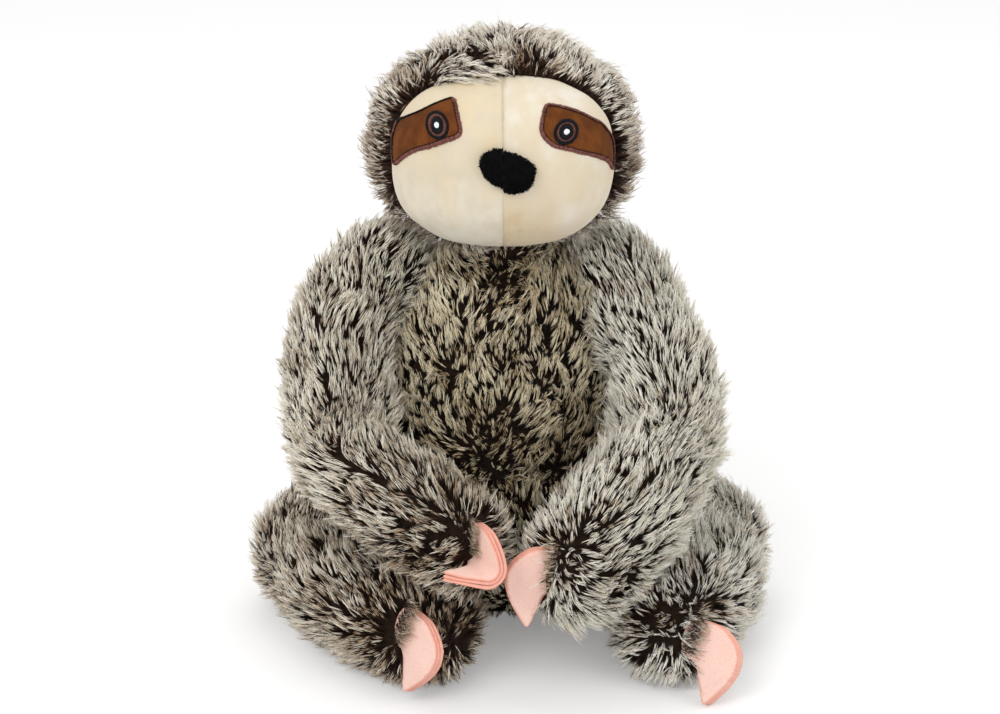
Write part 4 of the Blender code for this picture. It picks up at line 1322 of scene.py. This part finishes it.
noseMaterial = strandMaterial("loopedPlush_black", ((5, 5, 6), (8, 8, 9), (17, 17, 19)),
                              (0.2, 0.9), 0.85, 0.0, 0.1)
noseBacking = napMaterial("noseBacking", paint(8, 8, 9), paint(5, 5, 6), sheen=0.0)
for side, sign in (("left", -1), ("right", 1)):
    slip = noseLook["slip"] if sign > 0 else 0
    surface = noseSurface(slip, -0.6)
    made = meshObject("nose_pad_" + side, *surface)
    work = bmesh.new()
    work.from_mesh(made.data)
    parts = work.verts[:] + work.edges[:] + work.faces[:]
    cut = bmesh.ops.bisect_plane(work, geom=parts, plane_co=(0, 0, 0), plane_no=(-sign, 0, 0),
                                 clear_outer=True, dist=1e-6)["geom_cut"]
    rim = [part for part in cut if isinstance(part, bmesh.types.BMEdge)]
    bmesh.ops.contextual_create(work, geom=rim)
    bmesh.ops.recalc_face_normals(work, faces=work.faces)
    work.to_mesh(made.data)
    work.free()
    dress(made, noseBacking, "head", "black_plush", "nose_" + side)
    source = np.random.default_rng(80 + sign)
    roots, normals = scatter(surface, noseLook["loops"], 81 + sign)
    keep = (roots[:, 0] * sign > 0.0002) & (gapTo("face", roots) > -0.0012)
    roots, normals = roots[keep], normals[keep]
    count = len(roots)
    way = unit(wanderWays(roots, 0.006, 90)
               + source.normal(size=(count, 3)) * noseLook["unrest"])
    pile = noseLook["pile"] * mm * source.uniform(0.7, 1.25, (count, 1))
    middle, tip = (roots + normals * pile * rise + way * pile * lean
                   for rise, lean in noseLook["bend"])
    tip[:, 0] = np.where(tip[:, 0] * sign > 0.0001, tip[:, 0], 0.0001 * sign)
    paths = np.stack([roots - normals * 0.3 * mm, middle, tip], 1)
    wide = noseLook["width"] * 0.5 * mm * source.uniform(0.7, 1.2, (count, 1))
    radii = np.concatenate([wide, wide * 1.15, wide * 0], 1)
    tints = np.clip(0.45 + source.normal(size=count) * 0.25, 0, 1)
    pileMesh = strandMesh("nose_pile_" + side, paths, radii, way, 3, tints)
    dress(pileMesh, noseMaterial, "head", "black_plush")
print("nose built")

# Floor, light and camera

stageLook = {
    "floor": 4.0, "floorColour": (0.86, 0.86, 0.86, 1), "floorGlow": 0.22, "ambient": 0.75,
    "lamps": {"key": ((-1.3, -1.7, 2.1), 25), "fill": ((1.7, -1.3, 1.0), 9),
              "top": ((0.2, 0.5, 2.4), 8)},
    "lampSize": 1.4, "lampAim": (0, -0.05, 0.2),
    # the camera's aim and distance, its tilt in degrees and the width it sees there
    "aim": (-0.002, 0, 0.179), "distance": 1.5, "tilt": 22, "seen": 0.7, "sensor": 36,
}


def buildStage():
    half = stageLook["floor"]
    floor = meshObject("floor", [(-half, -half, 0), (half, -half, 0), (half, half, 0),
                                 (-half, half, 0)], [(0, 1, 2, 3)])
    made, tree, shader = newMaterial("paleFloor", specular=0.0, roughness=1)
    shader.inputs["Base Color"].default_value = stageLook["floorColour"]
    path = tree.nodes.new("ShaderNodeLightPath")
    glow = tree.nodes.new("ShaderNodeEmission")
    glow.inputs["Color"].default_value = (1, 1, 1, 1)
    strength = calc(tree, "MULTIPLY", path.outputs["Is Camera Ray"], stageLook["floorGlow"])
    feed(tree, strength, glow.inputs["Strength"])
    both = tree.nodes.new("ShaderNodeAddShader")
    feed(tree, shader.outputs[0], both.inputs[0])
    feed(tree, glow.outputs[0], both.inputs[1])
    feed(tree, both.outputs[0], tree.nodes["Material Output"].inputs["Surface"])
    floor.data.materials.append(made)


def buildWorld():
    world = bpy.data.worlds.new("studio")
    world.use_nodes = True
    bpy.context.scene.world = world
    tree = world.node_tree
    background = tree.nodes["Background"]
    background.inputs["Color"].default_value = (1, 1, 1, 1)
    path = tree.nodes.new("ShaderNodeLightPath")
    seen = calc(tree, "MAXIMUM", path.outputs["Is Camera Ray"], path.outputs["Is Glossy Ray"])
    seen = calc(tree, "MAXIMUM", seen, path.outputs["Is Transmission Ray"])
    rest = calc(tree, "MULTIPLY", calc(tree, "SUBTRACT", 1.0, seen), stageLook["ambient"])
    feed(tree, calc(tree, "ADD", seen, rest), background.inputs["Strength"])


def buildLamp(name, place, power):
    light = bpy.data.lights.new(name, "AREA")
    light.energy = power
    light.size = stageLook["lampSize"]
    made = placed(name, light)
    made.location = place
    aim = Vector(stageLook["lampAim"]) - Vector(place)
    made.rotation_euler = aim.to_track_quat("-Z", "Y").to_euler()


def buildCamera():
    camera = bpy.data.cameras.new("camera")
    distance, tilt = stageLook["distance"], radians(stageLook["tilt"])
    camera.sensor_width = stageLook["sensor"]
    camera.lens = stageLook["sensor"] * distance / stageLook["seen"]
    made = placed("camera", camera)
    made.location = Vector(stageLook["aim"]) + distance * Vector((0, -cos(tilt), sin(tilt)))
    made.rotation_euler = (pi / 2 - tilt, 0, 0)
    bpy.context.scene.camera = made


buildStage()
buildWorld()
for name, (place, power) in stageLook["lamps"].items():
    buildLamp(name, place, power)
buildCamera()
bpy.context.scene.view_settings.view_transform = "Standard"

print("scene ready")
